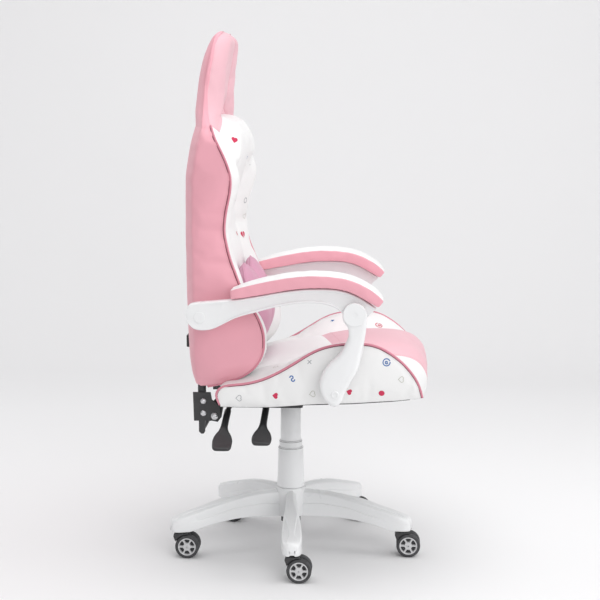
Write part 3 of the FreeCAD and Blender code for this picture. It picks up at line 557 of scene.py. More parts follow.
# ---------------- padded loft
class Loft:
    """Closed padded form from rings of points; each ring is given by its half on +X.

    halves has the shape (rows, half + 1, 3), in mm. Column 0 lies on the middle of the
    upper or front face, column half on the middle of the lower or rear face.
    """

    def __init__(self, halves):
        halves = np.asarray(halves, float)
        self.rows, self.half = halves.shape[0], halves.shape[1] - 1
        self.ring = 2 * self.half
        mirrored = halves[:, self.half - 1:0:-1] * np.array([-1.0, 1.0, 1.0])
        self.points = np.concatenate([halves, mirrored], axis=1).reshape(-1, 3) * MM

    def at(self, row, column, side=1):
        column = column if side > 0 else (self.ring - column) % self.ring
        return row * self.ring + column

    def line(self, column, side=1, first=0, last=None):
        """Indices down one column, on one side."""
        stop = self.rows if last is None else last + 1
        return [self.at(r, column, side) for r in range(first, stop)]

    def lines(self, *columns, first=0, last=None):
        """Indices down several columns, on both sides."""
        return [i for s in (1, -1) for c in columns for i in self.line(c, s, first, last)]

    def across(self, row, last=None):
        """Indices along one row, from the middle out to a half column, on both sides."""
        last = self.half if last is None else last
        return [self.at(row, c, s) for s in (1, -1) for c in range(last + 1)]

    def build(self, name, region, materials):
        """region(row, half column) names the material of a cell; each end takes the material of the
        row of cells beside it.
        """
        faces, kinds = [], []
        for r in range(self.rows - 1):
            for k in range(self.ring):
                n = (k + 1) % self.ring
                cell = min(k, self.ring - 1 - k)
                faces.append((self.at(r, k), self.at(r, n), self.at(r + 1, n), self.at(r + 1, k)))
                kinds.append(materials.index(region(r, cell)))
        for row, flip in ((0, True), (self.rows - 1, False)):
            for side in (1, -1):
                for k in range(self.half // 2):
                    quad = [k, k + 1, self.half - k - 1, self.half - k]
                    if quad[1] == quad[2]:
                        quad.pop(2)
                    face = [self.at(row, c, side) for c in quad]
                    turned = flip if side > 0 else not flip
                    faces.append(tuple(face[::-1] if turned else face))
                    kinds.append(materials.index(region(row if row == 0 else row - 1, k)))
        self.object = new_object(name, self.points, faces, materials, kinds)
        return self.object


def path_of(obj, indices, lift=0.0):
    points, up = coords(obj)[indices], normals(obj)[indices]
    return points + up * lift * MM


def shifted(obj, loft, column, side, off, first=0, last=None):
    """Path beside a seam column, moved off mm along the row towards higher columns."""
    a = coords(obj)[loft.line(column, side, first, last)]
    b = coords(obj)[loft.line(column + (2 if off > 0 else -2), side, first, last)]
    step = b - a
    step /= np.maximum(np.linalg.norm(step, axis=1, keepdims=True), 1e-9)
    return a + step * abs(off) * MM


def seam_lines(obj, loft, piping, groove, rows):
    """Paths of the piping, of the painted seam shadow beside it, and of the rows of stitches.

    piping is (column, last row, lift), the painted seam shadow takes (off, first row, last row),
    and rows holds (thread, column, off, first row, last row).
    """
    column, last, lift = piping
    sides = (1, -1)
    return {
        "piping": [relaxed(path_of(obj, loft.line(column, s, 0, last), lift)) for s in sides],
        # dark cord beside the piping that paints the seam's shadow
        "groove": [relaxed(shifted(obj, loft, column, s, *groove)) for s in sides],
        "stitch": [(color, shifted(obj, loft, beside, s, *span))
                   for s in sides for color, beside, *span in rows],
    }


# ---------------- back
# z, half width, piping y, wing ridge y, wing seam y, centre y, side rear y, rear y,
# ridge and wing seam as shares of the half width; mm
BACK_ROWS = [
    (459, 222, 186, 185, 186, 186, 220, 226, 0.92, 0.56),
    (466, 229, 157, 156, 166, 174, 222, 231, 0.92, 0.56),
    (475, 234, 126, 124, 152, 168, 223, 234, 0.92, 0.56),
    (482, 238, 109, 106, 142, 165, 224, 236, 0.92, 0.56),
    (495, 242, 85, 82, 130, 159, 225, 240, 0.92, 0.56),
    (510, 246, 69, 65, 120, 154, 226, 243, 0.92, 0.56),
    (534, 249, 54, 49, 110, 149, 228, 245, 0.92, 0.56),
    (560, 250, 47, 42, 106, 146, 229, 247, 0.92, 0.56),
    (590, 250, 48, 43, 105, 143, 230, 249, 0.92, 0.56),
    (620, 250, 57, 52, 108, 141, 231, 250, 0.92, 0.56),
    (660, 250, 79, 74, 116, 138, 232, 252, 0.92, 0.56),
    (700, 248, 102, 96, 125, 135, 233, 253, 0.92, 0.56),
    (735, 244, 115, 109, 133, 131, 234, 254, 0.92, 0.56),
    (765, 241, 127, 120, 141, 132, 234, 255, 0.92, 0.56),
    (800, 239, 136, 128, 152, 140, 235, 256, 0.92, 0.56),
    (835, 238, 142, 132, 160, 149, 235, 256, 0.92, 0.56),
    (870, 240, 139, 127, 159, 151, 234, 256, 0.92, 0.56),
    (900, 244, 133, 120, 152, 148, 234, 255, 0.92, 0.56),
    (930, 249, 126, 112, 143, 141, 233, 254, 0.92, 0.56),
    (960, 254, 124, 107, 134, 131, 232, 253, 0.92, 0.56),
    (985, 258, 130, 113, 121, 124, 228, 250, 0.88, 0.60),
    (1010, 261, 139, 128, 106, 117, 224, 245, 0.82, 0.66),
    (1035, 259, 152, 138, 106, 112, 220, 240, 0.78, 0.66),
    (1058, 251, 164, 147, 113, 114, 215, 235, 0.76, 0.66),
    (1080, 232, 172, 154, 123, 122, 210, 230, 0.77, 0.66),
    (1095, 212, 178, 159, 136, 135, 208, 229, 0.77, 0.64),
    (1104, 199, 181, 158, 160, 162, 207, 228, 0.74, 0.58),
    (1110, 190, 183, 157, 174, 179, 207, 228, 0.73, 0.54),
    (1118, 180, 185, 155, 178, 186, 206, 227, 0.72, 0.50),
    (1140, 166, 187, 154, 172, 178, 205, 225, 0.72, 0.43),
    (1160, 160, 188, 153, 166, 169, 203, 223, 0.71, 0.40),
    (1190, 157, 184, 150, 162, 165, 200, 219, 0.69, 0.40),
    (1215, 157, 180, 147, 157, 161, 197, 214, 0.65, 0.38),
    (1240, 154, 175, 143, 152, 156, 193, 208, 0.62, 0.38),
    (1255, 150, 173, 141, 149, 152, 189, 203, 0.60, 0.38),
    (1270, 144, 172, 139, 145, 147, 185, 198, 0.60, 0.38),
    (1282, 136, 171, 139, 142, 143, 180, 192, 0.60, 0.38),
    (1292, 126, 169, 142, 144, 144, 177, 187, 0.60, 0.38),
    (1300, 112, 167, 149, 149, 149, 173, 181, 0.60, 0.38),
    (1306, 94, 164, 157, 156, 156, 169, 174, 0.60, 0.38),
    (1308, 84, 162, 160, 160, 160, 168, 171, 0.60, 0.38),
]
BACK_CENTRE, BACK_WING, BACK_SIDE, BACK_REAR = 10, 16, 13, 13
BACK_REAR_Y = 256.0
SIDE_ROOM = ((459, 740, 880), (9.5, 9.5, 1.0))  # heights, and how far in the sides stay
BACK_SEAM = BACK_CENTRE
BACK_PIPING = BACK_CENTRE + BACK_WING
BACK_CORNER = BACK_PIPING + BACK_SIDE
NECK_Z = 1108.0
NECK_REACH = 62.0  # how far above and below the neck seam the rows bend
NECK_SHIFT = [(0, 0), (8, 0), (12, -2), (14, -8), (16, -24), (18, -39), (19, -42), (20, -41),
              (22, -35), (24, -28), (26, -24), (30, -27), (34, -29), (39, -29), (46, -27),
              (52, -26)]


def back_half_section(row):
    """Half ring of the back: centre panel, wing, flank and rear panel."""
    w, piping, ridge, seam, centre, side, rear, ridge_at, seam_at = row
    between = (seam_at + ridge_at) / 2
    flat = min(1.0, max(0.3, (w - 160) / 70))
    side, rear = side - 3 * flat, rear - 2.5 * flat
    corner = side - 9 - 4 * flat
    centre_panel = [(0, centre), (0.5 * seam_at * w, centre + 0.18 * (seam - centre)),
                    (seam_at * w, seam)]
    wing = [(seam_at * w, seam), (between * w, 0.58 * ridge + 0.42 * seam), (ridge_at * w, ridge),
            ((1 + ridge_at) / 2 * w + 2, ridge + 0.30 * (piping - ridge)), (w, piping)]
    flank = [(w, piping), (w + 3, 0.72 * piping + 0.28 * side),
             (w + 3, 0.35 * piping + 0.65 * side), (0.99 * w, corner)]
    rear_panel = [(0.99 * w, corner),
                  (0.95 * w, side + 0.15 * (1 - flat) * (rear - side) - 5 * flat),
                  (0.82 * w, side + (0.5 - 0.44 * flat) * (rear - side)),
                  (0.45 * w, side + (0.88 - 0.28 * flat) * (rear - side)), (0, rear)]
    return chained(through(centre_panel, spread(BACK_CENTRE, 0, 0.03)),
                   through(wing, spread(BACK_WING, 0.025, 0.025)),
                   through(flank, spread(BACK_SIDE, 0.03, 0.03)),
                   through(rear_panel, spread(BACK_REAR, 0.015, 0)))


def back_heights():
    low = [459, 461.5, 465, 469.5, 475, 481.5, 489]
    neck = [NECK_Z - 7, NECK_Z - 2.5, NECK_Z, NECK_Z + 2.5, NECK_Z + 7]
    top = [1276, 1283, 1289, 1294, 1298, 1301.5, 1304.5, 1306.7, 1308]
    body = np.linspace(low[-1], neck[0], 64)[1:-1]
    head = np.linspace(neck[-1], top[0], 20)[1:-1]
    return np.concatenate([low, body, neck, head, top])


def make_back():
    table = np.array(BACK_ROWS, float)
    low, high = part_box("back_cushion")
    table[:, 0] += low.z / MM - table[0, 0]
    table[:, 2:8] += high.y / MM - BACK_REAR_Y
    fine_z = np.arange(table[0, 0], table[-1, 0] + 0.5, 1.0)
    fine = np.array([back_half_section(r) for r in smooth(table[:, 0], table[:, 1:], fine_z)])
    heights = back_heights() + table[0, 0] - BACK_ROWS[0][0]
    columns = np.arange(fine.shape[1])
    shift = smooth(*np.array(NECK_SHIFT, float).T, columns)[:, 0]
    halves = np.empty((len(heights), len(columns), 3))
    for r, z in enumerate(heights):
        z_row = z + shift * math.exp(-((z - NECK_Z) / NECK_REACH) ** 2)
        for c in columns:
            halves[r, c] = (np.interp(z_row[c], fine_z, fine[:, c, 0]),
                            np.interp(z_row[c], fine_z, fine[:, c, 1]), z_row[c])
    loft = Loft(halves)
    neck = int(np.argmin(np.abs(heights - NECK_Z)))

    def region(row, cell):
        # black cloth closes the back's bottom edge and end, and also paints the dark shaded gap
        # above the seat
        if row < 2 and cell < BACK_PIPING:
            return "cloth"
        if cell >= BACK_PIPING:
            return "pink"
        return "white" if row < neck else "pale_pink"

    back = loft.build("back_upholstery", region, ["white", "pink", "pale_pink", "cloth"])
    neck_row = loft.across(neck, BACK_PIPING)
    held = loft.lines(BACK_SEAM, BACK_PIPING, BACK_CORNER) + neck_row
    for row in (0, 1, loft.rows - 1):
        held += loft.across(row)
    inflate(back, held, pressure=3.5, limit=6.0, slack=0.012)
    points = coords(back)
    room = np.interp(points[:, 2] / MM, *SIDE_ROOM) * MM
    points[:, 0] = np.clip(points[:, 0], low.x + room, high.x - room)
    set_coords(back, points)
    sink(back, loft.lines(BACK_SEAM, first=3, last=loft.rows - 4), 3.0)
    sink(back, loft.lines(BACK_CORNER, first=3, last=loft.rows - 4), 1.8)
    sink(back, sorted(set(neck_row)), 2.6)
    sink(back, loft.lines(BACK_PIPING, first=neck + 1, last=loft.rows - 4), 2.0)
    last = loft.rows - 5
    lines = seam_lines(back, loft, (BACK_PIPING, neck, 1.2), (3.1, 2, neck), [
        ("white_thread", BACK_SEAM, 5.5, 6, neck - 2),
        ("pink_thread", BACK_SEAM, 5.5, neck + 2, last),
        ("pink_thread", BACK_PIPING, 6.5, 4, neck),
        ("pink_thread", BACK_PIPING, 4.5, neck + 1, last),
        ("pink_thread", BACK_CORNER, 4.5, 4, last)])
    subdivide(back)
    return back, lines


# ---------------- seat
# piping (y, z), junction (y, z), centre (y, z), bottom edge (y, z); rear to front, mm
SEAT_ROWS = [
    (150, 424, 146, 424, 146, 424, 149, 419),
    (157, 438, 148, 442, 147, 444, 140, 417.6),
    (161, 450, 147, 460, 143, 465, 128, 417.4),
    (158, 461, 138, 462, 134, 466, 112, 417.2),
    (139, 470, 118, 470, 116, 476, 95, 417.2),
    (96, 474, 88, 484, 84, 492, 70, 417.2),
    (54, 484, 46, 498, 44, 508, 45, 417.4),
    (11, 503, 6, 507, 4, 517, 12, 419),
    (-31, 528, -34, 515, -34, 525, -25, 421.8),
    (-73, 554, -78, 524, -78, 535, -60, 424.8),
    (-112, 568, -116, 530, -118, 543, -95, 426.6),
    (-148, 573, -152, 533, -155, 549, -130, 427.8),
    (-194, 573, -200, 535, -202, 553, -165, 429),
    (-223, 567, -236, 533, -246, 554, -200, 431.6),
    (-252, 552, -270, 529, -280, 551, -230, 434),
    (-281, 530, -300, 524, -308, 542, -258, 436),
    (-304, 504, -322, 513, -330, 525, -282, 438.4),
    (-315, 487, -335, 498, -342, 505, -298, 440.4),
    (-322, 471, -342, 482, -347, 484, -310, 441.6),
    (-326, 458, -344, 464, -345, 466, -318, 442.6),
    (-328, 447, -340, 446, -338, 448, -324, 444),
]
SEAT_CENTRE, SEAT_SLOPE, SEAT_SIDE = 13, 11, 12
SEAT_JUNCTION = SEAT_CENTRE
SEAT_PIPING = SEAT_CENTRE + SEAT_SLOPE
SEAT_EDGE = SEAT_PIPING + SEAT_SIDE
SEAT_UNDER = SEAT_EDGE + SEAT_PIPING
SEAT_FRONT_Y, SEAT_TOP_Z = -347.0, 550.0
PINK_SEAM_Y = -95.0  # where the seam between white and pink crosses the middle
DIAGONAL, DIAGONAL_REACH = 0.18, 75.0  # its slope, and how far along the rows follow it


def seat_half_section(row, width, junction):
    py, pz, jy, jz, cy, cz, by, bz = row
    centre = [(0, cy, cz), (0.38 * junction, cy, cz - 0.06 * (cz - jz)),
              (0.74 * junction, 0.7 * cy + 0.3 * jy, cz - 0.34 * (cz - jz)), (junction, jy, jz)]
    towards_front = min(1.0, max(0.0, (-180 - py) / 50))
    crown = min(9.0, 0.22 * abs(pz - jz) + 3.0) * (1 - 1.6 * towards_front)
    slope = [(junction, jy, jz),
             (0.72 * junction + 0.28 * width, 0.72 * jy + 0.28 * py,
              0.78 * jz + 0.22 * pz + 0.8 * crown),
             (0.35 * junction + 0.65 * width, 0.35 * jy + 0.65 * py,
              0.34 * jz + 0.66 * pz + crown), (width, py, pz)]
    middle_y, middle_z = (py + by) / 2, (pz + bz) / 2
    flank = [(width, py, pz), (width + 1.5, 0.7 * py + 0.3 * by, 0.7 * pz + 0.3 * bz),
             (width + 1.5, middle_y, middle_z),
             (width, 0.15 * py + 0.85 * by, 0.15 * pz + 0.85 * bz), (width - 6, by, bz)]
    under = [(width - 6, by, bz), (junction, by, bz + 0.5), (0, by, bz + 0.5)]
    return chained(through(centre, spread(SEAT_CENTRE, 0, 0.03)),
                   through(slope, spread(SEAT_SLOPE, 0.035, 0.035)),
                   through(flank, spread(SEAT_SIDE, 0.04, 0.04)),
                   through(under, np.linspace(0, 1, SEAT_PIPING + 1)))


def make_seat():
    low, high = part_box("seat_cushion")
    junction = high.x / MM - 0.5
    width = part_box("seat_bolster_left")[1].x / MM
    table = np.array(SEAT_ROWS, float)
    table[:, 0::2] += low.y / MM - SEAT_FRONT_Y
    table[:, 1::2] += high.z / MM - SEAT_TOP_Z
    run = along(table[:, 4:6])
    fine_at = np.linspace(0, run[-1], 420)
    fine = np.array([seat_half_section(r, width, junction)
                     for r in smooth(run, table, fine_at)])
    boundary = float(np.interp(-PINK_SEAM_Y, -table[4:14, 4], run[4:14]))
    inner = np.linspace(0, 1, 66) * (run[-1] - 8.0) + 4.0
    stations = np.concatenate([[0, 1.5], inner, [run[-1] - 1.5, run[-1]]])
    row_at = int(np.argmin(np.abs(stations - boundary)))
    stations[row_at] = boundary
    stations[row_at - 1], stations[row_at + 1] = boundary - 3.5, boundary + 3.5
    columns = fine.shape[1]
    fade = np.ones(columns)
    fade[SEAT_JUNCTION:SEAT_PIPING + 1] = np.linspace(1, 0, SEAT_SLOPE + 1)
    fade[SEAT_PIPING:] = 0

    def half(sign):
        rows = np.empty((len(stations), columns, 3))
        for r, s in enumerate(stations):
            window = math.exp(-((s - boundary) / DIAGONAL_REACH) ** 2)
            for c in range(columns):
                x = fine[200, min(c, SEAT_JUNCTION), 0]
                at = s - sign * DIAGONAL * x * window * fade[c]
                rows[r, c] = [np.interp(at, fine_at, fine[:, c, k]) for k in range(3)]
        return rows

    loft = Loft(half(1))
    other = Loft(half(-1))
    for c in range(1, columns - 1):
        loft.points[loft.line(c, -1)] = other.points[other.line(c, -1)]

    def region(row, cell):
        return "pale_pink" if cell < SEAT_JUNCTION and row >= row_at else "white"

    seat = loft.build("seat_upholstery", region, ["white", "pale_pink"])
    diagonal = loft.across(row_at, SEAT_JUNCTION)
    held = loft.lines(SEAT_JUNCTION, SEAT_PIPING, *range(SEAT_EDGE, SEAT_UNDER + 1)) + diagonal
    for row in (0, 1, loft.rows - 2, loft.rows - 1):
        held += loft.across(row)
    inflate(seat, held, pressure=3.5, limit=5.0, slack=0.012)
    sink(seat, loft.lines(SEAT_JUNCTION, first=3, last=loft.rows - 4), 3.0)
    sink(seat, sorted(set(diagonal)), 2.0)
    last = loft.rows - 5
    lines = seam_lines(seat, loft, (SEAT_PIPING, None, 1.0), (3.0, 1, loft.rows - 2), [
        ("white_thread", SEAT_JUNCTION, 5.0, 6, last), ("white_thread", SEAT_PIPING, 6.5, 2, last),
        ("pink_thread", SEAT_JUNCTION, -5.0, row_at + 2, last)])
    row = [loft.at(row_at + 2, c, -1) for c in range(SEAT_JUNCTION, 0, -1)]
    row += [loft.at(row_at + 2, c, 1) for c in range(SEAT_JUNCTION + 1)]
    lines["stitch"].append(("pink_thread", coords(seat)[row]))
    subdivide(seat)
    return seat, lines


# ---------------- lumbar pillow
HEART = [(0, 517), (48, 519), (98, 543), (138, 590), (153, 635), (151, 680), (131, 722),
         (96, 741), (58, 736), (24, 716), (0, 697)]
PILLOW_LOW_Z = 517.0
PUFF_REACH = 52.0  # width of the rounded border
PILLOW_FRONT = [(517, 92), (537, 66), (563, 53), (590, 47), (619, 47), (665, 59), (700, 73),
                (725, 84), (741, 96)]


def make_pillow(back_tree):
    """Heart-shaped pillow lying on the back's face, and the path of its rim."""
    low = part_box("lumbar_pillow")[0]
    lift = low.z / MM - PILLOW_LOW_Z
    half = through(HEART, np.linspace(0, 1, 57))
    outline = np.concatenate([half, (half * [-1, 1])[::-1][1:-1]])
    outline[:, 1] += lift
    heart_middle = np.array([0.0, 628.0 + lift])
    count, rings = len(outline), 15
    crown = np.array(PILLOW_FRONT, float)

    def back_depth(x, z):
        hit, _, _, _ = back_tree.ray_cast(Vector((x * MM, -0.6, z * MM)), Vector((0, 1, 0)))
        return (hit.y if hit else 0.14) / MM

    edge_gap, faces = [], []
    for t in range(rings + 1):
        share = t / rings
        for p in outline:
            x, z = heart_middle + (p - heart_middle) * (1 - share ** 1.25 * 0.985)
            gap = np.min(np.linalg.norm(outline - np.array([x, z]), axis=1)) if t else 0.0
            edge_gap.append((x, z, gap))
    fronts, rears = [], []
    for x, z, gap in edge_gap:
        behind = back_depth(x, z)
        puff = math.sqrt(max(0.0, 1 - (1 - min(gap / PUFF_REACH, 1.0)) ** 2))
        top = np.interp(z - lift, crown[:, 0], crown[:, 1])
        rim = min(behind - 15.0, 0.4 * top + 0.6 * (behind - 8))
        fronts.append((x, rim + (top - rim) * puff, z))
        rears.append((x, rim + (behind - 2.0 - rim) * min(1.0, puff * 1.3), z))
    sheet = np.array(fronts).reshape(rings + 1, count, 3)
    for _ in range(30):
        around = (np.roll(sheet, 1, axis=1) + np.roll(sheet, -1, axis=1))[1:-1, :, 1]
        sheet[1:-1, :, 1] += 0.5 * ((sheet[:-2, :, 1] + sheet[2:, :, 1] + around) / 4
                                    - sheet[1:-1, :, 1])
        sheet[-1, :, 1] = sheet[-2, :, 1].mean()
    fronts = [tuple(v) for v in sheet.reshape(-1, 3)]
    verts = [np.array(v) * MM for v in fronts] + [np.array(v) * MM for v in rears[count:]]

    def index(layer, t, k):
        if layer == 0 or t == 0:
            return t * count + k % count
        return len(fronts) + (t - 1) * count + k % count

    for layer in (0, 1):
        for t in range(rings):
            for k in range(count):
                quad = (index(layer, t, k), index(layer, t, k + 1), index(layer, t + 1, k + 1),
                        index(layer, t + 1, k))
                faces.append(quad if layer == 0 else quad[::-1])
        faces.append(tuple(index(layer, rings, k) for k in (range(count) if layer == 0
                                                           else range(count - 1, -1, -1))))
    pillow = new_object("lumbar_pillow_cover", verts, faces, ("mauve",))
    rear_start = len(fronts)
    inflate(pillow, list(range(count)) + list(range(rear_start, len(verts))), pressure=3.0,
            limit=4.0, slack=0.03)
    rim_path = coords(pillow)[:count]
    subdivide(pillow)
    return pillow, rim_path


# ---------------- arm pads
# station: rear to front, bottom (y, z), top (y, z), share of the full width
PAD_ROWS = [
    (117.5, 685, 119.5, 705, 0.90, 0.0), (115, 685.2, 117, 706.5, 0.96, 0.05),
    (108, 686, 109, 709, 0.99, 0.16), (92, 688, 92, 714, 1.0, 0.42),
    (62, 693, 62, 721.5, 1.0, 0.80), (22, 700, 22, 730, 1.0, 1.0), (-18, 707, -18, 737, 1.0, 1.0),
    (-45, 710.5, -45, 740, 1.0, 1.0), (-71, 712, -71, 741.5, 1.0, 1.0),
    (-98, 712.5, -99, 741, 1.0, 1.0), (-124, 711, -127, 738.5, 1.0, 1.0),
    (-146, 707, -151, 734, 1.0, 1.0), (-166, 700, -174, 726.5, 1.0, 0.95),
    (-184, 691, -196, 716, 1.0, 0.85), (-200, 681.5, -214, 705, 0.99, 0.7),
    (-213, 674, -227, 694.5, 0.97, 0.45), (-221, 669.5, -234, 687, 0.93, 0.2),
    (-226, 668.5, -237, 682, 0.84, 0.0),
]
PAD_TOP, PAD_SIDE = 9, 9
PAD_TOP_Z = 742.0


def make_pad(name):
    """Arm pad with a crowned white top and a pink band, and its two stitch lines."""
    low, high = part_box("arm_pad_" + name)
    centre = (low.x + high.x) / 2 / MM
    reach = (high.x - low.x) / 2 / MM
    table = np.array(PAD_ROWS, float)
    table[:, 1:4:2] += high.z / MM - PAD_TOP_Z
    run = along(table[:, 2:4])
    stations = np.concatenate([[0, 1.5, 4], np.linspace(8, run[-1] - 8, 46),
                               [run[-1] - 4, run[-1] - 1.5, run[-1]]])
    rows = []
    for by, bz, ty, tz, share, crown in smooth(run, table, stations):
        w = reach * share
        up = np.array([ty - by, tz - bz])
        top = [(0, 0.95 + 0.23 * crown), (0.38 * w, 0.95 + 0.215 * crown),
               (0.74 * w, 0.95 + 0.14 * crown), (0.96 * w, 0.93)]
        band = [(0.96 * w, 0.93), (w, 0.72), (w, 0.40), (0.985 * w, 0.13), (0.93 * w, 0.0)]
        under = [(0.93 * w, 0.0), (0.45 * w, 0.0), (0, 0.0)]
        section = chained(through(top, spread(PAD_TOP, 0, 0.06)),
                          through(band, spread(PAD_SIDE, 0.06, 0.06)),
                          through(under, np.linspace(0, 1, PAD_TOP + 1)))
        rows.append([(x, by + up[0] * h, bz + up[1] * h) for x, h in section])
    loft = Loft(rows)
    loft.points[:, 0] += centre * MM

    def region(row, cell):
        return "white" if cell < PAD_TOP else "pink"

    pad = loft.build("arm_pad_cover_" + name, region, ["white", "pink"])
    held = loft.lines(PAD_TOP, *range(PAD_TOP + PAD_SIDE, loft.half + 1))
    for row in (0, 1, loft.rows - 2, loft.rows - 1):
        held += loft.across(row)
    inflate(pad, held, pressure=3.0, limit=2.2, slack=0.01)
    sink(pad, loft.lines(PAD_TOP, first=1, last=loft.rows - 2), 1.1)
    rows = [shifted(pad, loft, PAD_TOP, s, -3.5, 3, loft.rows - 4) for s in (1, -1)]
    subdivide(pad)
    return pad, rows


# ---------------- hard parts that stay as CAD
def dress(material, *names):
    for name in names:
        slots = nodes[name].data.materials
        slots.clear()
        slots.append(MAT[material])


def dress_hard_parts():
    for name, _ in SIDES:
        dress("white_plastic", "arm_rear_cap_" + name, "upright_caps_" + name)
    dress("dark_steel", "mechanism_plate", "seat_frame", "seat_hinge_brackets", "back_frame",
          "back_hinge_plates", "gas_outer_tube")
    dress("zinc", "mechanism_bolts", "upright_pivot_bolts", "back_bolts", "arm_pivot_bolts",
          "gas_cylinder")
    dress("gas_steel", "gas_rod", "release_button", "strut_rod")
    dress("dark_steel", "strut_cylinder", "height_lever_rod", "recline_lever_rod")
    dress("cloth", "seat_dust_cover")
    for k in range(1, 6):
        dress("black_plastic", "caster_%d_hood" % k)
        dress("zinc", "caster_%d_pins" % k)


# ---------------- hard parts
def turned(profile, centre, axis="Z", facing=1, sides=72, closed=False):
    """Surface turned about an axis; profile is (radius, height along the axis), in mm."""
    verts, count = [], len(profile)
    for k in range(sides):
        a = 2 * math.pi * k / sides
        for radius, height in profile:
            p, q, h = radius * math.cos(a), radius * math.sin(a), facing * height
            offset = (p, q, h) if axis == "Z" else (h, p, q)
            verts.append(np.asarray(centre) + np.array(offset) * MM)
    faces = grid_faces(sides, count, True, closed)
    if not closed:
        faces.append(tuple(k * count for k in range(sides)))
        faces.append(tuple(k * count + count - 1 for k in range(sides)))
    return verts, faces


TYRE = [(22.2, 1.0), (22.2, 16.0), (25.0, 16.8), (27.6, 16.6), (29.2, 15.4), (30.0, 13.2),
        (30.0, 10.6), (29.3, 10.0), (29.3, 9.4), (30.0, 8.8), (30.0, 5.6), (29.3, 5.0),
        (29.3, 4.4), (30.0, 3.8), (30.0, 3.0), (29.0, 1.2), (27.0, 0.3), (24.0, 0.2)]


def spoked_face(centre, facing):
    """Wheel face: bead, six tapered spokes and domed hub over a dark recess."""
    radii = [1.2, 4.0, 7.0, 8.6, 9.4, 9.8, 11.5, 13.5, 15.5, 17.5, 18.6, 19.0, 19.6, 20.6, 21.6,
             22.4]
    inner, outer = 5, 11
    spokes, verts, marks, kinds = 6, [], [], []
    for k in range(spokes):
        middle = 2 * math.pi * k / spokes
        for u in (-1.0, -0.75, 0.0, 0.75, 1.0):
            marks.append((middle, u, True))
        for v in (0.04, 0.2, 0.4, 0.6, 0.8, 0.96):
            marks.append((middle, v, False))
    count = len(marks)
    for ring, r in enumerate(radii):
        half = 1.7 + 1.1 * abs((r - 14.0) / 6.0) ** 2
        edge = math.asin(min(1.0, half / max(r, half)))
        for middle, u, spoke in marks:
            angle = middle + (u * edge if spoke else edge + u * (2 * math.pi / spokes - 2 * edge))
            window = not spoke and inner <= ring <= outer
            if r < 9.5:
                depth = 16.4 + 0.9 * math.cos(r / 9.5 * math.pi / 2)
            elif ring > outer:
                depth = (16.2, 16.9, 16.9, 16.0)[ring - outer - 1]
            else:
                depth = 15.9 - (0.5 if abs(u) == 1.0 else 0.0)
            if window:
                depth = 8.5
            verts.append(np.asarray(centre) + np.array([facing * depth, r * math.cos(angle),
                                                        r * math.sin(angle)]) * MM)
    faces = grid_faces(len(radii), count)
    for ring in range(len(radii) - 1):
        for k in range(count):
            between = not marks[k][2] and not marks[(k + 1) % count][2]
            kinds.append("tyre" if between and inner <= ring < outer else "rim_plastic")
    faces.append(tuple(range(count)))
    kinds.append("rim_plastic")
    return verts, faces, kinds


def make_wheel(number, name, facing):
    node = "caster_%d_wheel_%s" % (number, name)
    low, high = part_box(node)
    start = high.x if facing < 0 else low.x
    centre = (start, (low.y + high.y) / 2, (low.z + high.z) / 2)
    verts, faces, kinds = spoked_face(centre, facing)
    parts = [(*turned(TYRE, centre, "X", facing, 64, True), "tyre")]
    parts.append((*turned([(4.3, 1.2), (21.9, 1.2), (22.3, 2.0), (22.3, 8.0), (4.3, 8.0)], centre,
                          "X", facing, 48, True), "tyre"))
    groups = {}
    for face, kind in zip(faces, kinds):
        groups.setdefault(kind, []).append(face)
    for kind, chosen in groups.items():
        used = sorted({i for f in chosen for i in f})
        where = {i: k for k, i in enumerate(used)}
        parts.append(([verts[i] for i in used], [tuple(where[i] for i in f) for f in chosen], kind))
    wheel = joined(node + "_detail", parts, 40)
    stand_in(wheel, node, "caster_wheel", node)


def cover_profile(bottom, top, foot, head, inner):
    """Closed wall section of a tapering sleeve with rounded lips."""
    return [(inner, bottom), (foot - 0.8, bottom), (foot, bottom + 0.8),
            (0.35 * foot + 0.65 * head, bottom + 0.62 * (top - bottom)), (head, top - 1.6),
            (head - 0.5, top - 0.4), (head - 1.4, top), (inner, top)]


def make_covers():
    for node, body, foot, head in (("cover_lower", "base", 35.0, 31.6),
                                   ("cover_middle", "cover_slide", 29.7, 29.0),
                                   ("cover_upper", "lift", 26.4, 25.6)):
        low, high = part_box(node)
        bottom, top = low.z / MM, high.z / MM
        inner = {"cover_lower": 30.4, "cover_middle": 27.0, "cover_upper": 14.1}[node]
        parts = [(*turned(cover_profile(bottom, top, foot, head, inner), (0, 0, 0),
                          closed=True), "white_plastic")]
        if node != "cover_upper":
            lip = [(head - 0.4, top - 3.4), (head + 0.35, top - 3.1), (head + 0.35, top - 2.3),
                   (head - 0.4, top - 2.0)]
            parts.append((*turned(lip, (0, 0, 0), closed=True), "seam_grey"))
        cover = joined(node + "_shell", parts)
        stand_in(cover, body, "white_plastic", node)


# bottom (y, z), top (y, z), depth of the side channel; rear to front, mm
BEAM_ROWS = [
    (225.6, 646, 224.4, 655, 0), (224, 634, 220, 666.5, 0), (217, 621.5, 212, 671.8, 0.2),
    (204, 611.5, 199, 674.5, 0.6), (188, 608.8, 183, 676, 0.8), (172, 610, 165, 677.5, 0.9),
    (157, 614.5, 148, 679, 1.0), (143, 621, 131, 680.6, 1.2), (126, 630, 113, 682.6, 1.6),
    (107, 639, 94, 685, 2.2), (86, 645.8, 76, 688, 2.8), (62, 652, 56, 691.2, 3.2),
    (30, 661, 28, 696.4, 3.4), (0, 668, -2, 701.6, 3.4), (-30, 673, -32, 705.6, 3.4),
    (-60, 675.4, -62, 708.4, 3.4), (-90, 674.2, -95, 708.8, 3.2), (-115, 668.4, -123, 707.8, 2.6),
    (-134, 658, -146, 703.6, 1.6), (-147, 646, -167, 696.4, 0.9), (-159, 634, -184, 688, 0.6),
    (-176, 629, -197, 680, 0.4), (-194, 636.6, -208, 671.8, 0.3), (-206, 652, -215, 666.6, 0),
    (-214, 658, -219, 663.4, 0),
]


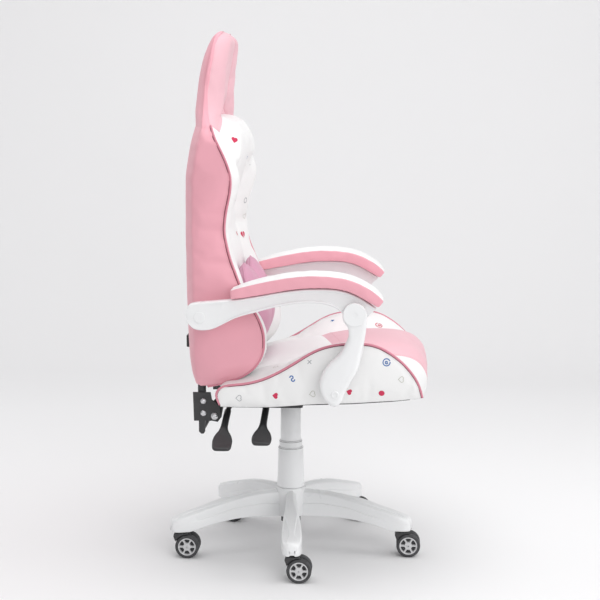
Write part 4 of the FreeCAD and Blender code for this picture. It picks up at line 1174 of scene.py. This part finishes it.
def make_beam(name):
    low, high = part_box("arm_beam_" + name)
    centre, reach = (low.x + high.x) / 2, (high.x - low.x) / 2 / MM
    table = np.array(BEAM_ROWS, float)
    run = along(table[:, 2:4])
    halves = []
    for by, bz, ty, tz, channel in smooth(run, table, np.linspace(0, run[-1], 84)):
        side = reach - channel
        lip = min(1.0, 30.0 / max(8.0, math.hypot(ty - by, tz - bz)))
        section = [(0, 1), (reach - 5, 1), (reach - 1.6, 0.985), (reach, 0.95),
                   (reach, 1 - 0.17 * lip), (reach - 0.3, 1 - 0.19 * lip), (side, 1 - 0.225 * lip),
                   (side - 0.1, 0.60), (side, 0.215 * lip), (reach - 0.3, 0.18 * lip),
                   (reach, 0.16 * lip), (reach, 0.06), (reach - 1.6, 0.015), (reach - 5, 0), (0, 0)]
        halves.append([(x, by + (ty - by) * h, bz + (tz - bz) * h) for x, h in section])
    loft = Loft(halves)
    loft.points[:, 0] += centre
    beam = loft.build("arm_beam_shell_" + name, lambda row, cell: "white_plastic",
                      ["white_plastic"])
    beam.data.set_sharp_from_angle(angle=math.radians(38))
    stand_in(beam, "arm_" + name, "white_plastic", "arm_beam_" + name)


UPRIGHT_LINE = [(-197, 655), (-197, 623), (-193, 590), (-186, 554), (-176, 517), (-159, 488),
                (-147, 464), (-138, 442), (-128, 433.5), (-117, 434), (-106, 441), (-92, 462),
                (-88, 483), (-95, 511), (-111, 534), (-133, 555), (-148, 580), (-156, 602),
                (-154, 620), (-144, 635), (-142, 652), (-150, 670), (-169, 678.5), (-188, 672)]
STEP_Z, STEP_RISE = 590, 15.0  # above it the upright lies outside the beam


def closed_curve(points, pitch):
    """Evenly spaced points on a smooth closed curve."""
    points = np.asarray(points, float)
    wrapped = np.concatenate([points[-3:], points, points[:3]])
    run = along(wrapped)
    dense = smooth(run, wrapped, np.linspace(run[3], run[len(points) + 3], 600), calm=False)
    length = along(dense)
    count = int(length[-1] / pitch)
    at = np.arange(count) * length[-1] / count
    return np.stack([np.interp(at, length, dense[:, k]) for k in range(2)], axis=1)


def inward(line):
    ahead = np.roll(line, -1, axis=0) - np.roll(line, 1, axis=0)
    normal = np.stack([-ahead[:, 1], ahead[:, 0]], axis=1)
    normal /= np.linalg.norm(normal, axis=1, keepdims=True)
    area = np.sum(line[:, 0] * np.roll(line[:, 1], -1) - np.roll(line[:, 0], -1) * line[:, 1])
    return normal if area > 0 else -normal


def moulding(line, levels):
    """Rounded slab: levels of (x, inset) from one face to the other."""
    into, count = inward(line), len(line)
    verts = [(x, *spot) for x, inset in levels for spot in line + into * inset]
    faces = grid_faces(len(levels), count)
    faces.append(tuple(range(count)))
    faces.append(tuple((len(levels) - 1) * count + k for k in range(count)))
    return np.array(verts, float), faces


def make_upright(name, side):
    low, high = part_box("upright_" + name)
    near, far = (low.x, high.x) if side > 0 else (-high.x, -low.x)
    thick = (far - near) / MM
    line = closed_curve(UPRIGHT_LINE, 4.0)
    levels = [(0, 4), (0.8, 1.5), (3, 0), (thick * 0.55, 0), (thick - 9, 0.5), (thick - 5, 2),
              (thick - 2.2, 4.8), (thick - 0.7, 8.2), (thick, 12)]
    verts, faces = moulding(line, levels)
    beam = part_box("arm_beam_" + name)
    beam_face = (beam[1].x if side > 0 else -beam[0].x) / MM + 1.6 - near / MM
    rise = np.clip((verts[:, 2] - STEP_Z) / STEP_RISE, 0, 1)
    floor = rise * rise * (3 - 2 * rise) * beam_face
    verts[:, 0] = floor + verts[:, 0] * (thick - floor) / thick
    verts[:, 0] = side * (near / MM + verts[:, 0])
    upright = new_object("upright_shell_" + name, verts * MM, faces, ("white_plastic",), None, 50)
    stand_in(upright, "upright_" + name, "white_plastic", "upright_" + name)


# way along from the neck, half width, half thickness; the tip's rows go back from the end, mm
SLEEVE_ROWS = [
    (-96, 7.4, 7.4), (-94, 8.4, 8.2), (-60, 8.4, 8.2), (-20, 8.6, 8.0), (-4, 9.4, 7.4),
    (8, 12.0, 6.4), (20, 17.5, 5.6), (32, 22.0, 5.1), (44, 23.9, 4.9),
]
TIP_ROWS = [(9, 22.6, 4.7), (3, 19.5, 4.3), (0.8, 17, 3.2), (0, 14.5, 1.6)]
SLEEVE_LENGTH, SLEEVE_HEADING = 96, np.array([0.965, 0.262])


def make_lever(body, start, end):
    """Sleeved bar that flares into a flat hand grip with a raised border."""
    paddle = body + "_paddle"
    low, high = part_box(paddle)
    middle = (low.y + high.y) / 2 / MM
    start, end = np.array(start, float), np.array(end, float)
    heading = (end - start) / np.linalg.norm(end - start)
    across = np.array([-heading[1], heading[0]])
    length = np.linalg.norm(end - start)
    tip = [(length - d, wide, thick) for d, wide, thick in TIP_ROWS]
    table = np.array(SLEEVE_ROWS + tip, float)
    at = np.concatenate([[-SLEEVE_LENGTH, -95], np.linspace(-93, length - 6, 40),
                         [length - 3.5, length - 1.5, length - 0.5, length]])
    shapes = []
    for d, (_, wide, thick) in zip(at, smooth(table[:, 0], table, at)):
        flat = min(1.0, max(0.0, (d - 4) / 18.0))
        half = []
        for a in np.linspace(0, math.pi, 15):
            power = 1.0 - 0.45 * flat
            u = wide * math.sin(a) ** power
            v = thick * math.copysign(abs(math.cos(a)) ** power, math.cos(a))
            inner = 1.0 - flat * 0.22 * (abs(math.cos(a)) > 0.75) * (d < length - 6)
            half.append((max(u, 0.0), d, v * inner))
        shapes.append(half)
    loft = Loft(shapes)
    local = loft.points.copy()
    bend = np.clip(-local[:, 1:2] / MM, 0, None)
    spine = start * MM + heading * local[:, 1:2]
    bent = start * MM + SLEEVE_HEADING * np.minimum(bend, SLEEVE_LENGTH) * MM
    spine = np.where(bend > 0, bent, spine)
    spot = spine + across * local[:, 2:3]
    loft.points = np.stack([spot[:, 0], local[:, 0] + middle * MM, spot[:, 1]], axis=1)
    lever = loft.build(paddle + "_grip", lambda row, cell: "lever_plastic", ["lever_plastic"])
    stand_in(lever, body, "black_plastic", paddle)


# x along the arm, crest z, belly z, half width, half width of the raised spine, mm
ARM_ROWS = [
    (27, 152, 84, 15.5, 6.4), (45, 152, 84.5, 15.5, 6.4), (83, 151, 87, 15.8, 6.6),
    (120, 147.5, 88.5, 17, 7.2), (150, 142.6, 88, 19, 10.2), (175, 138, 86, 21.4, 13.6),
    (190, 134.8, 84.4, 22.8, 14.4), (215, 128.6, 81, 24.4, 12.6), (240, 121.8, 75.6, 25.2, 9.8),
    (263, 115.6, 69, 25, 7.6), (280, 110.8, 66, 24.2, 6.8), (293, 106.8, 66, 23, 9.6),
    (303, 103.2, 66, 21, 12.4), (310, 100.2, 66, 18, 12.6), (315, 96, 66.2, 14.6, 11),
    (317.5, 90.5, 67, 11.5, 9), (318.5, 84, 70, 8.5, 7),
]
STEM_RADIUS = 0.0055
HOLLOW, ARM_WALL = (44, 276), 4.2  # where the arm is open below, and its wall
STEP_LINE = [(27, 114), (83, 120), (159, 114.5), (216, 100.5), (290, 87), (320, 80)]


def make_base():
    table = np.array(ARM_ROWS, float)
    step = np.array(STEP_LINE, float)
    stations = np.concatenate([np.linspace(27, 300, 62), [303, 306, 309, 311.5, 313.5, 315.2, 316.6,
                                                          317.6, 318.5]])
    halves = []
    for x, crest, belly, half, spine in smooth(table[:, 0], table, stations):
        fade = min(1.0, max(0.0, (296 - x) / 70.0))
        shelf = np.interp(x, step[:, 0], step[:, 1])
        shelf = min(max(shelf, belly + 3), crest - 8)
        inset = 2.6 * fade
        ceiling = crest - 14 if HOLLOW[0] < x < HOLLOW[1] else belly + 2.5
        top = crest - 3.2
        section = [(0, crest), (spine - 1.2, crest - 0.2), (spine, crest - 1.4),
                   (spine + 0.8, crest - 2.6), (half - inset - 3.6, top - 0.8),
                   (half - inset - 1.2, top - 2.6), (half - inset, top - 5.6),
                   (half - inset * 0.9, shelf + 1.2), (half - 0.4, shelf), (half, shelf - 1.4),
                   (half, belly + 1.2), (half - 1, belly), (half - ARM_WALL, belly),
                   (half - ARM_WALL - 0.5, min(ceiling, belly + 4)),
                   (half - ARM_WALL - 1.2, ceiling), (0, ceiling)]
        halves.append([(w, x, z) for w, z in section])
    arm = Loft(halves)
    model = arm.build("arm_pattern", lambda row, cell: "white_plastic", ["white_plastic"])
    shape = [tuple(p.vertices) for p in model.data.polygons]
    pattern = arm.points.copy()
    bpy.data.objects.remove(model)
    ribs = []
    for x in range(72, 270, 32):
        crest, belly, half = (float(np.interp(x, table[:, 0], table[:, k])) for k in (1, 2, 3))
        box = [(w, d, z) for w in (-half + 3, half - 3) for d in (x - 1.6, x + 1.6)
               for z in (belly + 5, crest - 12)]
        ribs.append(np.array(box) * MM)
    rib_faces = [(0, 1, 3, 2), (4, 6, 7, 5), (0, 4, 5, 1), (2, 3, 7, 6), (0, 2, 6, 4), (1, 5, 7, 3)]
    parts = []
    for k in range(1, 6):
        low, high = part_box("caster_%d_pins" % k)
        angle = math.atan2(high.y - STEM_RADIUS, (low.x + high.x) / 2)
        turn = np.array([[math.sin(angle), math.cos(angle)], [-math.cos(angle), math.sin(angle)]])
        for verts, part_faces in [(pattern, shape)] + [(r, rib_faces) for r in ribs]:
            turned_verts = verts.copy()
            turned_verts[:, :2] = verts[:, :2] @ turn.T
            parts.append((turned_verts, part_faces, "white_plastic"))
    hub = [(25.2, 84), (38, 84), (39, 85), (39, 150), (38.4, 154.4), (36.4, 157.2), (33.6, 158),
           (25.2, 158)]
    parts.append((*turned(hub, (0, 0, 0), closed=True), "white_plastic"))
    base = joined("star_base_shell", parts, 32)
    stand_in(base, "base", "white_plastic", "star_base")


def make_buckle():
    """Ladder-lock buckle of the lumbar strap, with the folded strap behind its bars."""
    low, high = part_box("lumbar_buckle")
    middle = (low.z + high.z) / 2 / MM
    half_x, half_z = (high.x - low.x) / 2 / MM, (high.z - low.z) / 2 / MM
    rear = high.y / MM + 7.5
    parts = []

    def ring(wide, tall, depth_from, depth_to, thick):
        corner, count, size = 4.0, 40, np.array([wide, tall])
        angles = np.linspace(0, 2 * math.pi, count, endpoint=False)
        round_part = np.stack([np.cos(angles), np.sin(angles)], axis=1)
        outline = np.sign(round_part) * (size - corner) + corner * round_part
        shrink = (size - thick) / size
        loops = [(depth_from, 1.0), (depth_to - 1.6, 1.0), (depth_to - 0.5, 0.97),
                 (depth_to, 0.93), (depth_to, shrink), (depth_to - 1.0, shrink),
                 (depth_from, shrink)]
        verts = [(x, depth, middle + z) for depth, scale in loops for x, z in outline * scale]
        parts.append((np.array(verts) * MM, grid_faces(len(loops), count, True),
                      "black_plastic"))

    ring(half_x, half_z, rear - 9.0, rear, 3.4)
    for z in (-half_z * 0.42, 0.0, half_z * 0.42):
        path = np.array([(x, rear - 3.2, middle + z)
                         for x in np.linspace(-half_x + 2, half_x - 2, 9)])
        parts.append((*tube(path * MM, 2.0 * MM, 10), "black_plastic"))
    profile = through([(-half_z - 9, rear - 9.4), (-half_z + 2, rear - 7.2), (-4.4, rear - 5.6),
                       (0, rear - 0.6), (4.4, rear - 5.6), (half_z - 2, rear - 7.2),
                       (half_z + 9, rear - 9.4)], np.linspace(0, 1, 29))
    strap_x = (-11, -10.2, -5, 0, 5, 10.2, 11)
    around = [(x, 0.0) for x in strap_x] + [(x, 1.4) for x in strap_x[::-1]]
    verts = [(x, y - offset, middle + z) for x, offset in around for z, y in profile]
    count = len(profile)
    faces = grid_faces(len(around), count, True, False)
    faces += [tuple(c * count + k for c in range(len(around))) for k in (0, count - 1)]
    parts.append((np.array(verts) * MM, faces, "cloth"))
    buckle = joined("lumbar_strap_buckle", parts)
    stand_in(buckle, "back", "black_plastic", "lumbar_buckle")


# ---------------- printed motifs
def heart_line(count=28):
    t = np.linspace(0, 2 * math.pi, count, endpoint=False)
    x = 16 * np.sin(t) ** 3
    y = 14 * np.cos(t) - 3.8 * np.cos(2 * t) - 1.6 * np.cos(3 * t) - 0.7 * np.cos(4 * t)
    return np.stack([x, y + 2], axis=1) / 32.0


def arc_line(radius, start, end, count=20, centre=(0, 0), growth=0.0):
    a = np.radians(np.linspace(start, end, count))
    r = radius + growth * np.linspace(0, 1, count)
    return np.stack([centre[0] + r * np.cos(a), centre[1] + r * np.sin(a)], axis=1)


def motif(kind):
    """Filled outlines and strokes of a motif that is one unit wide."""
    heart = heart_line()
    if kind == "heart":
        return [heart], []
    if kind == "heart_outline":
        return [], [np.vstack([heart, heart[:1]])]
    if kind == "broken_heart":
        crack = [(0.07, -0.2), (-0.04, -0.04), (0.06, 0.12)]
        right = np.vstack([heart[:len(heart) // 2 + 1], crack])
        left = np.vstack([heart[len(heart) // 2:], heart[:1], crack[::-1]])
        return [right + (0.07, 0), left - (0.07, 0)], []
    if kind == "dot":
        return [arc_line(0.5, 0, 345, 24)], []
    if kind == "star":
        angles = np.radians(90 + 36 * np.arange(10))
        reach = np.where(np.arange(10) % 2 == 0, 0.5, 0.21)
        return [np.stack([reach * np.cos(angles), reach * np.sin(angles)], axis=1)], []
    if kind == "ring":
        return [], [arc_line(0.42, 0, 360, 28)]
    if kind == "spiral":
        return [], [arc_line(0.44, 20, 365, 34), arc_line(0.05, -90, 330, 30, growth=0.17)]
    if kind == "cross":
        return [], [np.array([(-0.4, -0.4), (0, 0), (0.4, 0.4)]),
                    np.array([(-0.4, 0.4), (0, 0), (0.4, -0.4)])]
    return [], [arc_line(0.25, -70, 170, 18, (-0.06, 0.2)),
                arc_line(0.25, 110, 350, 18, (0.06, -0.2))]


STROKES = {"spiral": 2.3, "curl": 2.6, "ring": 2.2, "cross": 1.8}


def stamp(tree, seed, kind, size, turn=0.0):
    """Motif laid on the surface near seed; turn is in degrees, lengths in mm."""
    hit, normal, _, _ = tree.find_nearest(Vector(seed) * MM)
    normal = np.array(normal)
    up = np.array([0.0, 0.0, 1.0]) if abs(normal[2]) < 0.8 else np.array([0.0, 1.0, 0.0])
    right = np.cross(up, normal)
    right /= np.linalg.norm(right)
    up = np.cross(normal, right)
    c, s = math.cos(math.radians(turn)), math.sin(math.radians(turn))
    right, up = c * right + s * up, c * up - s * right
    fills, strokes = motif(kind)
    verts, faces = [], []

    def land(points, lift=0.35):
        first = len(verts)
        for x, y in points:
            spot = np.array(hit) + (right * x + up * y) * size * MM
            near, face_normal, _, _ = tree.find_nearest(Vector(spot))
            verts.append(np.array(near) + np.array(face_normal) * lift * MM)
        return first

    for outline in fills:
        middle = outline.mean(axis=0)
        count, rings = len(outline), 4
        first = land(np.concatenate([middle + (outline - middle) * (k + 1) / rings
                                     for k in range(rings)]))
        top = land([middle])
        for k in range(count):
            n = (k + 1) % count
            faces.append((top, first + k, first + n))
            for ring in range(rings - 1):
                a = first + ring * count
                faces.append((a + k, a + count + k, a + count + n, a + n))
    for line in strokes:
        heading = np.gradient(line, axis=0)
        side = np.stack([-heading[:, 1], heading[:, 0]], axis=1)
        side /= np.maximum(np.linalg.norm(side, axis=1, keepdims=True), 1e-9)
        half = STROKES.get(kind, 1.5) / size / 2
        a, b = land(line + side * half), land(line - side * half)
        for k in range(len(line) - 1):
            faces.append((a + k, a + k + 1, b + k + 1, b + k))
    return verts, faces


# seed point on the sitter's right side, motif, width, turn, ink; mm and degrees
SEAT_SIDE_PRINTS = [
    ((-276, 106, 441.5), "heart_outline", 15, -90, "grey"),
    ((-276, 19, 448.5), "heart", 15, -96, "crimson"),
    ((-276, -22, 490), "curl", 15, 20, "blue"),
    ((-276, -63, 530), "cross", 11, 0, "grey"),
    ((-276, -69, 454), "heart_outline", 15, -80, "cream"),
    ((-276, -156, 460), "heart", 15, -110, "crimson"),
    ((-276, -244, 531), "spiral", 19, 0, "blue"),
    ((-276, -233, 457), "dot", 14, 0, "crimson"),
    ((-276, -278, 491), "heart_outline", 14, -90, "cream"),
]
SEAT_TOP_PRINTS = [
    ((215, -97, 560), "star", 13, 15, "blue"), ((200, -226, 556), "spiral", 20, 0, "crimson"),
    ((222, 20, 505), "heart_outline", 14, 30, "cream"), ((205, -166, 556), "cross", 11, 0, "grey"),
]
BACK_PRINTS = [
    ((-172, 128, 1044), "heart", 17, -20, "crimson"), ((178, 120, 974), "dot", 4, 0, "grey"),
    ((183, 137, 881), "ring", 16, 0, "grey"), ((161, 141, 790), "broken_heart", 20, 0, "crimson"),
    ((190, 128, 835), "heart_outline", 15, 20, "cream"), ((52, 118, 1000), "star", 13, 0, "blue"),
    ((-30, 125, 930), "cross", 11, 10, "grey"), ((66, 140, 880), "curl", 15, 0, "blue"),
    ((-70, 140, 860), "heart_outline", 15, -25, "cream"),
    ((20, 138, 806), "heart", 15, 15, "crimson"),
    ((-158, 128, 960), "spiral", 18, 0, "blue"), ((-196, 110, 905), "dot", 12, 0, "crimson"),
]


def mirrored_prints(rows):
    return [((-x, y, z), kind, size, -turn, color) for (x, y, z), kind, size, turn, color in rows]


def add_prints(owner, rows):
    tree = surface_tree(owner)
    for color in sorted({r[4] for r in rows}):
        parts = [stamp(tree, seed, kind, size, turn)
                 for seed, kind, size, turn, ink_name in rows if ink_name == color]
        trim("%s_print_%s" % (owner.name, color), parts, color, owner)


# ---------------- assembly
def add_seam_work(owner, name, lines):
    """Piping with the painted seam shadow beside it, and the rows of stitches, all riding with
    owner.
    """
    tree = surface_tree(owner)
    for label, paths, radius, sides, material in (
            ("piping", lines["piping"], 2.7, 8, "piping"),
            # thin dark cord: painted shadow beside the piping
            ("painted_shadow_line", lines["groove"], 0.9, 6, "groove")):
        parts = [tube(resample(path, 4 * MM), radius * MM, sides) for path in paths]
        trim("%s_%s" % (name, label), parts, material, owner)
    for color in sorted({c for c, _ in lines["stitch"]}):
        parts = stitches([p for c, p in lines["stitch"] if c == color], tree)
        trim("%s_%s" % (name, color), parts, color, owner)


def assemble():
    dress_hard_parts()
    for k in range(1, 6):
        make_wheel(k, "outer", -1)
        make_wheel(k, "inner", 1)
    make_base()
    make_covers()
    for name, side in SIDES:
        make_beam(name)
        make_upright(name, side)
    make_lever("height_lever", (-256, 368.4), (-312, 336))
    make_lever("recline_lever", (-264, 363.4), (-326, 325))
    make_buckle()

    back, back_lines = make_back()
    stand_in(back, "back", "pink_pu", "back_cushion")
    add_seam_work(back, "back", back_lines)
    add_prints(back, BACK_PRINTS)
    back_tree = surface_tree(back)

    seat, seat_lines = make_seat()
    stand_in(seat, "seat", "white_pu", "seat_cushion", "seat_bolster_left", "seat_bolster_right")
    add_seam_work(seat, "seat", seat_lines)
    add_prints(seat, SEAT_SIDE_PRINTS + mirrored_prints(SEAT_SIDE_PRINTS) + SEAT_TOP_PRINTS
               + mirrored_prints(SEAT_TOP_PRINTS[2:]))

    pillow, rim = make_pillow(back_tree)
    stand_in(pillow, "back", "mauve_pu", "lumbar_pillow")
    welt = tube(resample(np.vstack([rim, rim[:1]]), 4 * MM)[:-1], 2.2 * MM, 8, closed=True)
    trim("lumbar_pillow_piping", [welt], "mauve", pillow)

    for name, _ in SIDES:
        pad, rows = make_pad(name)
        stand_in(pad, "arm_" + name, "pink_pu", "arm_pad_" + name)
        parts = stitches(rows, surface_tree(pad), pitch=4.5, length=3.0, radius=0.4)
        trim("arm_pad_thread_" + name, parts, "white_thread", pad)


add_camera()
add_studio()
add_floor()
assemble()
